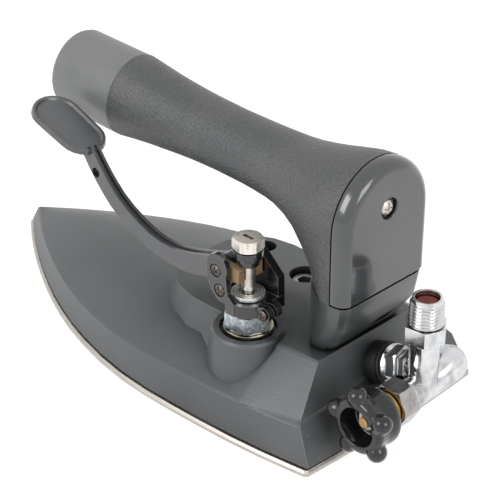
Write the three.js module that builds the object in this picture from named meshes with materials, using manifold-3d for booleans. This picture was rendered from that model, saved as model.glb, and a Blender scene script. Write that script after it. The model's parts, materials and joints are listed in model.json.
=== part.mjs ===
// Steam iron of the all-steam kind that laundries and clothes factories use.
// Millimetres, +Z up, +X towards the tip, +Y to the iron's left side.
// Places are counted from the middle of the heel's lower edge; the finished
// group is moved so that its origin is the middle of the sole's underside.
import * as THREE from "three";
import { mergeVertices } from "three/addons/utils/BufferGeometryUtils.js";
import Module from "manifold-3d";

const wasm = await Module();
wasm.setup();

// Fits and fineness
const gap = 0.3; // between two pieces that touch
const runningGap = 0.3; // round a pin or a stem that moves in its hole
const overrun = 1; // by which a cutting tool passes the face that it opens
const weldDistance = 1e-4;
const roundSides = 28;
const smallSides = 16;
const holeSides = 10;
const chamferSlopeShare = 0.58; // height of a nut's rounded corner, of its depth
const roundShare = 0.29; // depth of a round's middle inside its corner, of its radius
const screwDomeShare = 0.6;

// Sole plate
const soleLength = 215;
const soleHalfWidth = 53.6;
const soleThickness = 2.6;
const soleEdgeChamfer = 0.8;
const soleEdgeRelief = 0.4;
const heelBow = 1.5;
const heelCornerRadius = 1.8;
const heelLeastRound = 1.2;
const heelSteps = 3;
const cornerSteps = 4;
const flankSteps = 22;
const tipRadius = 1.6;
const tipAngle = 0.95;
const tipSteps = 3;
const steamHoleRadius = 1.6;
const steamHoleRows = 3;
const steamHolePitch = 27;
const steamHoleStagger = 4.5;
const steamHoleInset = 15;
const steamHoleStart = 98;
// Half widths along the sole, as shares of its length and of its greatest half width
const soleOutlineShares = [
  [0.0, 0.864],
  [0.02, 0.878],
  [0.1, 0.932],
  [0.2, 0.972],
  [0.3, 0.993],
  [0.4, 0.998],
  [0.5, 0.955],
  [0.6, 0.862],
  [0.68, 0.752],
  [0.75, 0.631],
  [0.82, 0.486],
  [0.88, 0.349],
  [0.93, 0.222],
  [0.97, 0.108],
];

// Gasket and steam baffle
const gasketThickness = 0.4;
const gasketInset = 1.8;
const gasketWidth = 3.6;
const baffleThickness = 1.2;
const baffleInset = 16;
const baffleEnd = 132;
const baffleLedge = 2.5;

// Chamber casting
const castingInset = 1.2;
const castingHeelInset = 0.4;
const castingWallLean = 2.7;
const castingEdgeRound = 1;
const castingWall = 5;
const heelLean = 0.42;
const heelLeanDepth = 12;
const wallHeightAtHeel = 18;
const wallHeightAtTip = 11.3;
const wallFallPower = 1.8;
const crownStart = 30;
const castingTip = 205.5;
// Height of the roof's middle line, as shares of the sole's length and of the raised flat's height
const crownShares = [
  [0.0, 0.9],
  [0.3, 0.88],
  [0.47, 0.8],
  [0.58, 0.735],
  [0.71, 0.665],
  [0.765, 0.624],
  [0.805, 0.583],
  [0.846, 0.528],
  [0.88, 0.47],
  [0.91, 0.405],
  [0.955, 0.336],
];
const roofCurve = 1.6;
const roofRings = 3;

// Raised flat on the roof
const flatHeight = 34;
const flatRear = 14;
const flatHalfWidth = 28;
const flatLength = 86;
const flatSkirtHeight = 17.5;
const flatEdgeRound = 0.9;
// Skirt of the raised flat: points along its edge, each with the run outwards to the skirt's foot
const flatEdgeShares = [
  { along: 0, across: 0.93, runBack: 0.07, runOut: 0.56 },
  { along: 0.21, across: 0.982, runBack: 0, runOut: 0.71 },
  { along: 0.48, across: 0.996, runBack: 0, runOut: 0.5 },
  { along: 0.74, across: 1, runBack: 0, runOut: 0.2 },
  { along: 0.85, across: 0.93, runBack: -0.02, runOut: 0.13 },
  { along: 0.92, across: 0.82, runBack: -0.04, runOut: 0.1 },
  { along: 0.965, across: 0.68, runBack: -0.05, runOut: 0.06 },
  { along: 1, across: 0.36, runBack: -0.055, runOut: 0.02 },
];

// Screws that hold the casting to the sole
const soleScrewThread = 3;
const soleBossRadius = 6;
const soleBossHeight = 7.4;
const pillarRadius = 8.3;
const rearScrewX = 59;
const rearScrewY = 14.3;
const rearScrewHeadRadius = 5;
const rearScrewSink = 2.5; // of its head's top, below the raised flat
const rearCounterboreRadius = 6.3;
const frontScrewX = 85.2;
const frontScrewY = 19;
const frontLeftScrewX = 76;
const frontLeftScrewY = 12;
const frontScrewHeadRadius = 3.9;
const frontScrewSeatRise = 4.4; // of the counterbore's floor above the baffle
const frontCounterboreRadius = 4.4;
const screwHeadHeight = 5.5;
const screwSocketShare = 0.55;

// Steam valve, on a vertical axis
const valveX = 47.4;
const valveY = 28.4;
const bossRadius = 14.1;
const bossFootRadius = 17;
const bossRise = 1.2; // of the boss's top above the raised flat
const bossRound = 0.9;
const bossRecessRadius = 10.9;
const bossRecessDepth = 1.5;
const valvePillarRadius = 10.5;
const valveWasherRadius = 9.4;
const valveWasherThickness = 1.9;
const valveHexFlats = 16.4;
const valveHexHeight = 6.9;
const valveHexSpin = 0.63;
const valveHexChamfer = 1;
const valveNeckRadius = 6.6;
const valveNeckHeight = 5.5;
const barrelRadius = 6.5;
const barrelBore = 5.1;
const seatShelf = 2.8; // metal under the seat, above the baffle
const barrelWeb = 3;
const stemRadius = 2;
const stemHeadRadius = 2.6;
const stemHeadHeight = 10;
const stemTop = 26.6;
const packingRadius = 4.4;
const packingDepth = 3.4;
const topDiscRadius = 6.3;
const topDiscThickness = 1.5;
const topDiscRecess = 3.4;
const topDiscRecessDepth = 0.5;
const valveDiscRadius = 4.4;
const valveDiscThickness = 2.4;
const seatThickness = 3;
const seatBore = 2.2;
const steamPortRadius = 1.8;
const collarLowRadius = 4.3;
const collarTopRadius = 5.7;
const collarHeight = 6.1;
const collarGrooveDepth = 0.4;
const capFlats = 10.4;
const capHeight = 4.6;
const capChamfer = 0.9;
const capSlotWidth = 1.6;
const capSlotDepth = 0.9;
const capSlotLengthShare = 0.45;
const capSpin = 0.25;
const capStudRadius = 1.4;
const springWire = 0.55;
const springTurns = 6;
const springWireSides = 5;
const springStepsPerTurn = 10;

// Bracket clamped round the valve's neck
const clampRadius = 8.6;
const clampHeight = 5.1;
const clampSlit = 1.4;
const cheekInner = 6.7;
const nearCheekThickness = 2.2;
const farCheekThickness = 3.4;
const cheekTopX = 7.4;
const cheekTopZ = 25.8;
const cheekTopRadius = 5.2;
const cheekArcStart = -0.1;
const nearCheekArcEnd = 3.6;
const farCheekArcEnd = 2;
// Corners of the cheeks' edges in X and Z, as shares of the reach and of the height of the
// round top
const nearCheekFrontShares = [
  [0.23, 0.318],
  [0.25, 0.46],
  [0.56, 0.47],
  [0.78, 0.575],
  [0.9, 0.66],
  [0.984, 0.756],
];
const farCheekFrontShares = [
  [0.603, 0.318],
  [0.81, 0.527],
  [0.984, 0.756],
];
const nearCheekRearShares = [
  [0.159, 0.62],
  [-0.111, 0.516],
  [-0.111, 0.318],
];
const farCheekRearShares = [
  [0.008, 1.116],
  [-0.675, 0.826],
  [-0.706, 0.318],
];
const earReach = 11.2;
const earRadius = 2.9;
const earThickness = 2.8;
const clampScrewRadius = 1.3;
const clampScrewHead = 2.1;
const clampScrewHeadHeight = 0.9;
const cheekScrewHead = 2.3;
const cheekScrewHeadHeight = 1;
const cheekCounterbore = 2.9;
const cheekCounterboreDepth = 0.8;
const crossSlotWidth = 0.6;
const crossSlotDepth = 0.5;
const crossSlotShare = 0.7;
const stopScrewX = 6;
const stopScrewZ = 16.5;
const stopScrewRadius = 1.3;

// Thumb lever and its lifter fork, placed from the pivot
const pivotX = 8;
const pivotZ = 24.1;
const pivotPinRadius = 1.6;
const leverEyeRadius = 4.2;
const leverWidth = 5.2;
const leverTipWidth = 3.9;
const leverDepth = 6.8;
const leverRootDepth = 8.8;
const leverRootShare = 0.4; // of the arm's length, over which it swells and grows slim again
const leverChannelRim = 1.1;
const leverChannelSlope = 0.4;
const leverChannelDepth = 1;
const leverChannelShare = 0.25; // of the arm's length, over which it deepens
const leverReach = 80;
const leverRise = 21;
const leverSteps = 16;
// Middle line of the lever's arm in its own plane, as shares of its reach and rise
const leverLineShares = [
  [0.0, 0.0],
  [0.06, -0.13],
  [0.138, -0.257],
  [0.243, -0.381],
  [0.341, -0.448],
  [0.44, -0.45],
  [0.544, -0.39],
  [0.665, -0.224],
  [0.773, 0.005],
  [0.844, 0.238],
  [0.9, 0.467],
  [0.946, 0.695],
  [0.984, 0.895],
];
const padLength = 35.6;
const padThickness = 3.4;
const padTilt = 0.318;
const padCentreX = 91.6;
const padCentreZ = 24.5;
const padWallShare = 0.55; // upright part of its edge, of its thickness
const padRim = 1.5;
const padDish = 0.8;
const padUnderRound = 1.8;
const padCornerPoints = 12;
const padFrontRadius = 10.1;
const padRearRadius = 9.6;
const leverHoleRadius = 2.1;
const leverHoleShare = 0.85; // of the way along the arm
const leverHoleDrop = 1; // below the arm's middle line
const forkThickness = 3.3;
const forkEyeRadius = 4.1;
const forkReach = 9.2;
const forkDepth = 5.8;
const forkTipFall = 0.5;
const forkWebThickness = 1.2;

// Handle
const seamX = 13;
const coverBackX = 6;
const postHalfWidth = 22.8;
const footHeight = 22.5;
const archRise = 28.3; // of the arch's middle above the post's lower edge
const gripRise = 32.2; // of the grip's axis above it
const gripEnd = 139.4;
const gripSteps = 20;
const gripStepPower = 1.3;
const gripSettleShare = 0.36;
const gripLeanPower = 4;
const sectionPoints = 36;
// Grip along its length: share of the run from seam to front end, top height as a share of
// the arch's top, half width as a share of the post's half width, and lower half height as a
// share of the axis height
const gripShares = [
  { along: 0.0, top: 1.0, wide: 1.0, low: 4.5 },
  { along: 0.051, top: 0.994, wide: 0.975, low: 0.85 },
  { along: 0.103, top: 0.98, wide: 0.925, low: 0.46 },
  { along: 0.154, top: 0.965, wide: 0.84, low: 0.35 },
  { along: 0.196, top: 0.955, wide: 0.775, low: 0.25 },
  { along: 0.247, top: 0.944, wide: 0.715, low: 0.193 },
  { along: 0.308, top: 0.939, wide: 0.65, low: 0.165 },
  { along: 0.381, top: 0.938, wide: 0.605, low: 0.157 },
  { along: 0.463, top: 0.939, wide: 0.582, low: 0.15 },
  { along: 0.566, top: 0.94, wide: 0.572, low: 0.148 },
  { along: 0.669, top: 0.945, wide: 0.58, low: 0.151 },
  { along: 0.771, top: 0.954, wide: 0.6, low: 0.161 },
  { along: 0.874, top: 0.967, wide: 0.635, low: 0.174 },
  { along: 0.94, top: 0.979, wide: 0.66, low: 0.186 },
  { along: 1.0, top: 0.99, wide: 0.68, low: 0.199 },
];
const frontCapRadius = 17.7;
const frontCapLength = 35.5;
const frontCapRound = 3;
const frontCapWall = 3;
const frontCapRise = 0.024; // of its outer wall, for each millimetre forwards
const capWidthShare = 0.87; // of its height
const capSeamLean = 0.12; // of the seam's plane, for each millimetre of height
const capSides = 40;
const frontCapHub = 3;
const coreRadius = 7.6;
const coreBore = 6;
const coreStart = 22;
const coreEndInCap = 25;
const coreSocketDepth = 14;
const corePinRadius = 1.5;
const corePinX = 29;
const socketRadius = 10.6;
const socketPocket = 11.4;
const postPocketFront = 30.5;
const postPocketHalfWidth = 11;
const uprightRear = 24.8;
const uprightFront = 30;
const uprightHalfWidth = 9.5;

// Foot of the handle bracket
const footBottomRear = 15.4;
const footTopRear = 6.4;
const footBottomHalfWidth = 20.2;
const footTopHalfWidth = 22.1;
const footBottomFront = 31.5;
const footTopFront = 35;
const footWaistShare = 0.5; // of its height, where its rear wall begins to curve in
const footWaistRear = 8.2;
const footWaistHalfWidth = 21.7;
const footWaistFront = 33.6;
const footCornerRadius = 4.5;
const footSideRun = 2.1;
const footCornerSteps = 3;
const footFrontSteps = 9;
const footNotchFront = 16.4;
// Foot's notch: height as a share of the foot's, and the ends of its edge across the iron as
// shares of the foot's half width
const footNotchShares = [
  { up: 0.156, right: -0.48, left: 0.015 },
  { up: 0.311, right: -0.658, left: -0.139 },
];
const bracketBoltX = 20.2;
const bracketBoltY = 6.4;
const bracketBoltRadius = 2.5;
const bracketBoltHeadRadius = 4.2;
const bracketBoltHeadHeight = 4.6;
const bracketBoltDepth = 8;

// Rear cover
const coverLift = 0.6; // of its lower edge above the grip's
const coverSideRim = 4.3;
const coverRimDepth = 5;
const coverTopRim = 4.3;
const coverWall = 2.6;
const coverScrewRise = 4.9;
const coverScrewHead = 3;
const coverScrewHeadHeight = 1.6;
const coverScrewRecess = 4.1;
const coverScrewRecessDepth = 2.2;
const coverScrewRadius = 1.6;
const coverScrewLength = 13;
const coverBossRadius = 5.6;
const coverSteps = 4;
const archPoints = 18;

// Inlet: flange nut on the heel, elbow body, nipple, plug
const nippleX = -11.2;
const nippleY = -2.4;
const barrelZ = 21.8;
const flangeX = 2.9;
const flangeZ = 24.7;
const flangeTilt = 0.35;
const inletBossRadius = 8.4;
const inletBossDepth = 14;
const sealRadius = 8.2;
const sealThickness = 0.9;
const flangeRadius = 7.9;
const flangeThickness = 1.9;
const flangeNutFlats = 13;
const flangeNutHeight = 4.6;
const neckRadius = 5;
const neckStubRadius = 4.4;
const neckStubLength = 9;
const neckBore = 2.8;
const neckCollarRadius = 6;
const neckCollarLength = 3;
const elbowRadius = 5.8;
const elbowLength = 21.8;
const elbowDomeRadius = 7.1;
const elbowDomeRise = 2.9; // of the dome's middle above the runner's axis
const elbowSwellSteps = 5;
const elbowFrontEnd = 10.4;
const elbowRimLength = 1.6;
const elbowRimRadius = 6.5;
const domeSteps = 5;
const columnSteamBore = 1.8;
const passageRadius = 1.2;
const columnRadius = 5.7;
const columnTop = 19.7;
const nippleCollarRadius = 7;
const nippleCollarHeight = 1.7;
const nippleHexFlats = 14.4;
const nippleHexHeight = 5.8;
const nippleHexSpin = 0.65;
const threadBaseRadius = 6.75;
const threadTopRadius = 6.3;
const threadLength = 10.8;
const threadPitch = 1.337;
const threadDepth = 0.75;
const nippleBore = 4.6;
const nippleStubRadius = 3.8;
const nippleStubLength = 6;
const nippleSteamBore = 2.6;
const plugRadius = 4.3;
const plugLength = 8;
const plugSink = 1.6;
const plugDomeHeight = 0.5;

// Needle valve on the elbow's left end
const glandFlats = 15.2;
const glandLength = 7.9;
const glandChamfer = 0.9;
const glandSpin = Math.PI / 6;
const glandSpigotRadius = 4.2;
const glandSpigotLength = 3;
const glandBore = 2.3;
const chamberRadius = 4.5;
const chamberDepth = 6.8;
const needleSeatBore = 1.5;
const needlePackingLength = 2;
const needlePackingRadius = 3.9;
const ringRadius = 6.4;
const ringLength = 2.4;
const spindleRadius = 2;
const needleLength = 2.2;
const needleTipRadius = 0.6;
const needleHeadLength = 1;
const spindleEnd = 32.2;
const knobLength = 14.6;
const knobRadius = 11.2;
const knobCupRadius = 7.5;
const knobCupDepth = 8.4;
const knobNubs = 5;
const knobNubRadius = 3.8;
const knobNubReach = 11.2; // of the nubs' middles from the knob's axis
const knobNubShare = 0.81; // of the knob's length, from its back
const knobNubSpin = 0.138;
const knobNutFlats = 7;
const knobNutHeight = 2.2;
// Knob from back to front: share of its greatest radius and share of its length
const knobShares = [
  [0.0, 0.0],
  [0.62, 0.0],
  [0.85, 0.07],
  [0.97, 0.17],
  [1.0, 0.27],
  [0.985, 0.36],
  [0.94, 0.55],
  [0.965, 0.72],
  [1.0, 0.84],
  [0.975, 0.93],
  [0.89, 0.985],
  [0.77, 1.0],
  [0.0, 1.0],
];

const alongX = new THREE.Vector3(1, 0, 0);
const alongY = new THREE.Vector3(0, 1, 0);
const alongZ = new THREE.Vector3(0, 0, 1);
const nowhere = new THREE.Vector3(0, 0, 0);
const at = (x, y, z) => new THREE.Vector3(x, y, z);

// Joins and cuts, on solids

function toSolid(geometry) {
  const bare = geometry.clone();
  bare.deleteAttribute("normal");
  bare.deleteAttribute("uv");
  const merged = mergeVertices(bare, weldDistance);
  const corners = merged.index.array;
  const triVerts = [];
  for (let i = 0; i < corners.length; i += 3) {
    const [a, b, c] = corners.slice(i, i + 3);
    if (a !== b && b !== c && c !== a) triVerts.push(a, b, c);
  }
  return new wasm.Manifold(
    new wasm.Mesh({
      numProp: 3,
      vertProperties: Float32Array.from(merged.attributes.position.array),
      triVerts: Uint32Array.from(triVerts),
    }),
  );
}

function toGeometry(solid) {
  const mesh = solid.getMesh();
  return new THREE.BufferGeometry()
    .setAttribute("position", new THREE.BufferAttribute(mesh.vertProperties, 3))
    .setIndex(new THREE.BufferAttribute(mesh.triVerts, 1));
}

const join = (first, ...others) => others.reduce((whole, one) => whole.add(one), first);
const cut = (first, ...tools) => tools.reduce((rest, one) => rest.subtract(one), first);

// Plain shapes

// A geometry made along Y is turned to run along the direction, from the origin given.
function placed(geometry, direction, origin) {
  const turn = new THREE.Quaternion().setFromUnitVectors(alongY, direction);
  return toSolid(geometry.applyQuaternion(turn).translate(origin.x, origin.y, origin.z));
}

function bar(direction, radius, from, to, origin = nowhere, sides = roundSides) {
  const geometry = new THREE.CylinderGeometry(radius, radius, to - from, sides);
  return placed(geometry.translate(0, (from + to) / 2, 0), direction, origin);
}

function hexBar(direction, acrossFlats, from, to, origin = nowhere, spin = 0) {
  const radius = acrossFlats / Math.sqrt(3);
  const geometry = new THREE.CylinderGeometry(radius, radius, to - from, 6);
  return placed(geometry.rotateY(spin).translate(0, (from + to) / 2, 0), direction, origin);
}

// The profile is a list of [radius, height along the direction], outer side running up.
function turned(direction, profile, origin = nowhere, sides = roundSides) {
  const points = profile.map(([radius, height]) => new THREE.Vector2(radius, height));
  return placed(new THREE.LatheGeometry(points, sides), direction, origin);
}

// A ring with a square section.
function tube(direction, outer, inner, from, to, origin = nowhere, sides = roundSides) {
  const profile = [
    [inner, from],
    [outer, from],
    [outer, to],
    [inner, to],
    [inner, from],
  ];
  return turned(direction, profile, origin, sides);
}

// A hexagon whose corners are rounded off at its two ends, as a turned nut's are.
function chamferedHex(direction, flats, from, to, chamfer, origin = nowhere, spin = 0) {
  const corner = flats / Math.sqrt(3);
  const rounded = turned(direction, [
    [0, from],
    [corner - chamfer, from],
    [corner, from + chamfer * chamferSlopeShare],
    [corner, to - chamfer * chamferSlopeShare],
    [corner - chamfer, to],
    [0, to],
  ], origin);
  return hexBar(direction, flats, from, to, origin, spin).intersect(rounded);
}

function block([x0, x1], [y0, y1], [z0, z1]) {
  const box = new THREE.BoxGeometry(x1 - x0, y1 - y0, z1 - z0);
  return toSolid(box.translate((x0 + x1) / 2, (y0 + y1) / 2, (z0 + z1) / 2));
}

// An outline in X and Z, drawn out along Y.
function sidePlate(outline, y0, y1) {
  const options = { depth: y1 - y0, bevelEnabled: false, curveSegments: smallSides };
  const geometry = new THREE.ExtrudeGeometry(outline, options);
  return toSolid(geometry.rotateX(Math.PI / 2).translate(0, y1, 0));
}

// A closed surface through rings that have the same number of points. A ring drawn in to a
// line or a point closes its end by itself and takes no cap.
function loft(rings, capFirst = true, capLast = true) {
  const count = rings[0].length;
  const position = new Float32Array(rings.flat().flatMap((p) => [p.x, p.y, p.z]));
  const index = [];
  for (let r = 0; r + 1 < rings.length; r++) {
    for (let i = 0; i < count; i++) {
      const a = r * count + i;
      const b = r * count + ((i + 1) % count);
      index.push(a, b, b + count, a, b + count, a + count);
    }
  }
  const last = (rings.length - 1) * count;
  if (capFirst) for (const [a, b, c] of capFaces(rings[0])) index.push(a, c, b);
  if (capLast) {
    for (const [a, b, c] of capFaces(rings[rings.length - 1])) {
      index.push(last + a, last + b, last + c);
    }
  }
  const geometry = new THREE.BufferGeometry();
  geometry.setAttribute("position", new THREE.BufferAttribute(position, 3));
  geometry.setIndex(index);
  return toSolid(geometry);
}

// Triangles that fill a ring, seen along the normal that its turning sense gives.
function capFaces(ring) {
  const normal = new THREE.Vector3();
  ring.forEach((p, i) => {
    const q = ring[(i + 1) % ring.length];
    normal.add(new THREE.Vector3().crossVectors(p, q));
  });
  const turn = new THREE.Quaternion().setFromUnitVectors(normal.normalize(), alongZ);
  const flat = ring.map((p) => {
    const q = p.clone().applyQuaternion(turn);
    return new THREE.Vector2(q.x, q.y);
  });
  return THREE.ShapeUtils.triangulateShape(flat, []);
}

// Value of a table of [share, value] pairs at a share, on straight lines between them.
function onTable(table, share) {
  const found = table.findIndex(([s]) => s >= share);
  const next = found < 0 ? table.length - 1 : Math.max(1, found);
  const [s0, v0] = table[next - 1];
  const [s1, v1] = table[next];
  const part = THREE.MathUtils.clamp((share - s0) / (s1 - s0), 0, 1);
  return v0 + (v1 - v0) * part;
}

// Heights above the sole's underside

const castingBase = soleThickness + gap + gasketThickness + gap;
const baffleBase = soleThickness + soleBossHeight + gap;
const pillarBase = baffleBase + baffleThickness + gap;
const bossTop = flatHeight + bossRise;
const barrelDepth = bossTop - pillarBase - seatShelf - seatThickness - 2 * gap;
const postBottom = flatHeight + footHeight;
const archCentreZ = postBottom + archRise;
const gripAxisZ = postBottom + gripRise;
const coverScrewZ = archCentreZ + coverScrewRise;

// Heights on the valve's axis, from the boss's top

const washerFoot = gap - bossRecessDepth;
const hexFoot = washerFoot + valveWasherThickness + gap;
const hexTop = hexFoot + valveHexHeight;
const neckTop = hexTop + valveNeckHeight;
const topDiscFoot = neckTop + gap;
const topDiscTop = topDiscFoot + topDiscThickness;
const collarFoot = stemTop + gap;
const capFoot = collarFoot + collarHeight + gap;
const stemHole = stemRadius + runningGap;
const discFoot = -barrelDepth;
const discTop = discFoot + valveDiscThickness;
const portZ = discTop + steamPortRadius;

// From the flange's foot, out along its axis, to the nipple's axis.
const flangeAxis = at(-Math.cos(flangeTilt), 0, Math.sin(flangeTilt));
const flangeFoot = at(flangeX, nippleY, flangeZ);
const inletOrigin = at(nippleX, nippleY, barrelZ);
const neckReach = (flangeX - nippleX) / Math.cos(flangeTilt);
const neckCollarFoot = flangeThickness + flangeNutHeight + gap;

// Sole, gasket, baffle and casting

// The flank from the heel line to the tip, without the heel's corner.
function flankLine() {
  const side = new THREE.SplineCurve(
    soleOutlineShares.map(([along, wide]) => {
      return new THREE.Vector2(along * soleLength, wide * soleHalfWidth);
    }),
  );
  const points = side.getPoints(flankSteps);
  for (let i = 0; i <= tipSteps; i++) {
    const turn = tipAngle * (1 - i / tipSteps);
    const x = soleLength - tipRadius + tipRadius * Math.cos(turn);
    points.push(new THREE.Vector2(x, tipRadius * Math.sin(turn)));
  }
  return points;
}

const flank = flankLine();

// The flank moved inwards by an inset.
function insetFlank(inset) {
  const last = flank.length - 1;
  return flank.map((p, i) => {
    const before = flank[i - 1] ?? p.clone().multiplyScalar(2).sub(flank[1]);
    const after = flank[i + 1] ?? new THREE.Vector2(flank[last - 1].x, -flank[last - 1].y);
    const a = new THREE.Vector2().subVectors(p, before).normalize();
    const b = new THREE.Vector2().subVectors(after, p).normalize();
    const outwards = new THREE.Vector2(-(a.y + b.y), a.x + b.x).divideScalar(1 + a.dot(b));
    return p.clone().addScaledVector(outwards, -inset);
  });
}

// Place on a line of points, counted in points, where a value reaches a limit from below.
function placeAt(line, value, limit, from) {
  const next = line.findIndex((p, i) => i > from && value(p) >= limit);
  const a = value(line[next - 1]);
  const b = value(line[next]);
  return next - 1 + (limit - a) / (b - a);
}

// Half of the outline at an inset, from the heel's middle round the left side to the tip.
function halfOutline(inset) {
  const line = insetFlank(inset);
  const round = Math.max(heelCornerRadius - inset, heelLeastRound);
  const start = placeAt(line, (p) => p.x, inset + round, 0);
  const end = placeAt(line, (p) => -p.y, 0, start);
  const onFlank = (place) => {
    const low = Math.min(Math.floor(place), line.length - 2);
    return line[low].clone().lerp(line[low + 1], place - low);
  };
  const straight = onFlank(start).y - round;
  const points = [];
  for (let i = 0; i <= heelSteps; i++) {
    const share = i / heelSteps;
    points.push(new THREE.Vector2(inset - heelBow * (1 - share * share), straight * share));
  }
  for (let i = 1; i < cornerSteps; i++) {
    const turn = Math.PI - (Math.PI / 2) * (i / cornerSteps);
    const x = inset + round + round * Math.cos(turn);
    points.push(new THREE.Vector2(x, straight + round * Math.sin(turn)));
  }
  for (let i = 0; i <= flankSteps; i++) {
    points.push(onFlank(start + ((end - start) * i) / flankSteps));
  }
  return points;
}

// The whole outline as a ring, turning from the heel's middle to the right side and round.
// shape(x, y) gives each point of the left half its place.
function outlineRing(inset, shape) {
  const left = halfOutline(inset).map((p, i, all) => {
    const y = i === 0 || i === all.length - 1 ? 0 : p.y;
    return shape(p.x, y);
  });
  const right = left.map((p) => at(p.x, -p.y, p.z));
  return [...right, ...left.slice(1, -1).reverse()];
}

const level = (height) => (x, y) => at(x, y, height);

const acrossAll = [-soleHalfWidth, soleHalfWidth];
const soleScrews = [
  { name: "sole_screw_rear_left", x: rearScrewX, y: rearScrewY, rear: true },
  { name: "sole_screw_rear_right", x: rearScrewX, y: -rearScrewY, rear: true },
  { name: "sole_screw_front_left", x: frontLeftScrewX, y: frontLeftScrewY, rear: false },
  { name: "sole_screw_front_right", x: frontScrewX, y: -frontScrewY, rear: false },
];

function solePlate() {
  let plate = loft([
    outlineRing(soleEdgeRelief, level(0)),
    outlineRing(0, level(soleEdgeRelief)),
    outlineRing(0, level(soleThickness - soleEdgeChamfer)),
    outlineRing(soleEdgeChamfer, level(soleThickness)),
  ]);
  const bossTopZ = soleThickness + soleBossHeight;
  for (const { x, y } of soleScrews) {
    plate = join(plate, bar(alongZ, soleBossRadius, soleThickness - gap, bossTopZ, at(x, y, 0), smallSides));
    const thread = bar(
      alongZ, soleScrewThread + gap, soleThickness / 2, bossTopZ + overrun, at(x, y, 0), holeSides,
    );
    plate = cut(plate, thread);
  }
  const inner = halfOutline(steamHoleInset);
  for (let row = 0; row < steamHoleRows; row++) {
    const start = steamHoleStart + row * steamHoleStagger;
    for (let x = start; x < soleLength - 2 * steamHoleInset; x += steamHolePitch) {
      const y = inner.findLast((p) => p.x <= x).y * (row / (steamHoleRows - 1));
      if (row > 0 && y < 3 * steamHoleRadius) continue;
      for (const side of row > 0 ? [1, -1] : [1]) {
        const middle = at(x, side * y, 0);
        const hole = bar(alongZ, steamHoleRadius, -overrun, soleThickness + overrun, middle, holeSides);
        plate = cut(plate, hole);
      }
    }
  }
  return plate;
}

function soleGasket() {
  const top = soleThickness + gap + gasketThickness;
  const outer = loft([
    outlineRing(gasketInset, level(soleThickness + gap)),
    outlineRing(gasketInset, level(top)),
  ]);
  const inner = loft([
    outlineRing(gasketInset + gasketWidth, level(soleThickness - overrun)),
    outlineRing(gasketInset + gasketWidth, level(top + overrun)),
  ]);
  return cut(outer, inner);
}

function steamBaffle() {
  let sheet = loft([
    outlineRing(baffleInset, level(baffleBase)),
    outlineRing(baffleInset, level(baffleBase + baffleThickness)),
  ]);
  const z = [baffleBase - overrun, baffleBase + baffleThickness + overrun];
  for (const { x, y } of soleScrews) {
    sheet = cut(sheet, bar(alongZ, soleScrewThread + gap, ...z, at(x, y, 0), holeSides));
  }
  return cut(
    sheet,
    block([baffleEnd, soleLength], acrossAll, z),
    bar(alongZ, seatBore + gap, ...z, at(valveX, valveY, 0), holeSides),
  );
}

const frontScrewTop = pillarBase + frontScrewSeatRise + gap + screwHeadHeight;
const screwHeadTop = (rear) => (rear ? flatHeight - rearScrewSink : frontScrewTop);

const wallHeight = (x) => {
  const share = THREE.MathUtils.clamp(x / castingTip, 0, 1);
  return wallHeightAtHeel - (wallHeightAtHeel - wallHeightAtTip) * share ** wallFallPower;
};
const crownHeight = (x) => flatHeight * onTable(crownShares, x / soleLength);

// How far the sloping heel carries a point forwards at a height.
const leanedForward = (x, height) => {
  const near = THREE.MathUtils.clamp(1 - x / heelLeanDepth, 0, 1);
  return (heelLean * (height - castingBase) + castingHeelInset - castingInset) * near;
};

// The tent-shaped body: walls that lean in a little, and a roof that rises to a middle line.
function tent(inset, bottom, drop) {
  const shoulder = (x, y) => {
    const z = wallHeight(x) - castingEdgeRound - drop;
    return at(x + leanedForward(x, z), y, z);
  };
  const eaves = (x, y) => {
    const z = wallHeight(x) - drop;
    return at(x + leanedForward(x, z), y, z);
  };
  const foot = (x, y) => at(x + leanedForward(x, bottom), y, bottom);
  const rings = [
    outlineRing(inset, foot),
    outlineRing(inset + castingWallLean, shoulder),
    outlineRing(inset + castingWallLean + castingEdgeRound, eaves),
  ];
  const edge = rings[2];
  const crownEnd = Math.max(...edge.map((p) => p.x)) - castingEdgeRound;
  for (let ring = 1; ring <= roofRings; ring++) {
    const share = ring / roofRings;
    const rise = 1 - (1 - share) ** roofCurve;
    rings.push(edge.map((p) => {
      const x = THREE.MathUtils.clamp(p.x, crownStart, crownEnd);
      const z = p.z + (crownHeight(x) - drop - p.z) * rise;
      return at(p.x + (x - p.x) * share, ring === roofRings ? 0 : p.y * (1 - share), z);
    }));
  }
  return loft(rings, true, false);
}

function raisedFlat() {
  const half = (out, z) => flatEdgeShares.map(({ along, across, runBack, runOut }) => {
    const x = flatRear + flatLength * (along - runBack * out);
    return at(x, flatHalfWidth * (across + runOut * out), z);
  });
  const ring = (out, z) => {
    const left = half(out, z);
    return [...left.map((p) => at(p.x, -p.y, p.z)), ...left.reverse()];
  };
  const round = flatEdgeRound / (flatHeight - flatSkirtHeight);
  return loft([
    ring(1, flatSkirtHeight),
    ring(round, flatHeight - flatEdgeRound),
    ring(-round / 2, flatHeight),
  ]);
}

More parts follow.
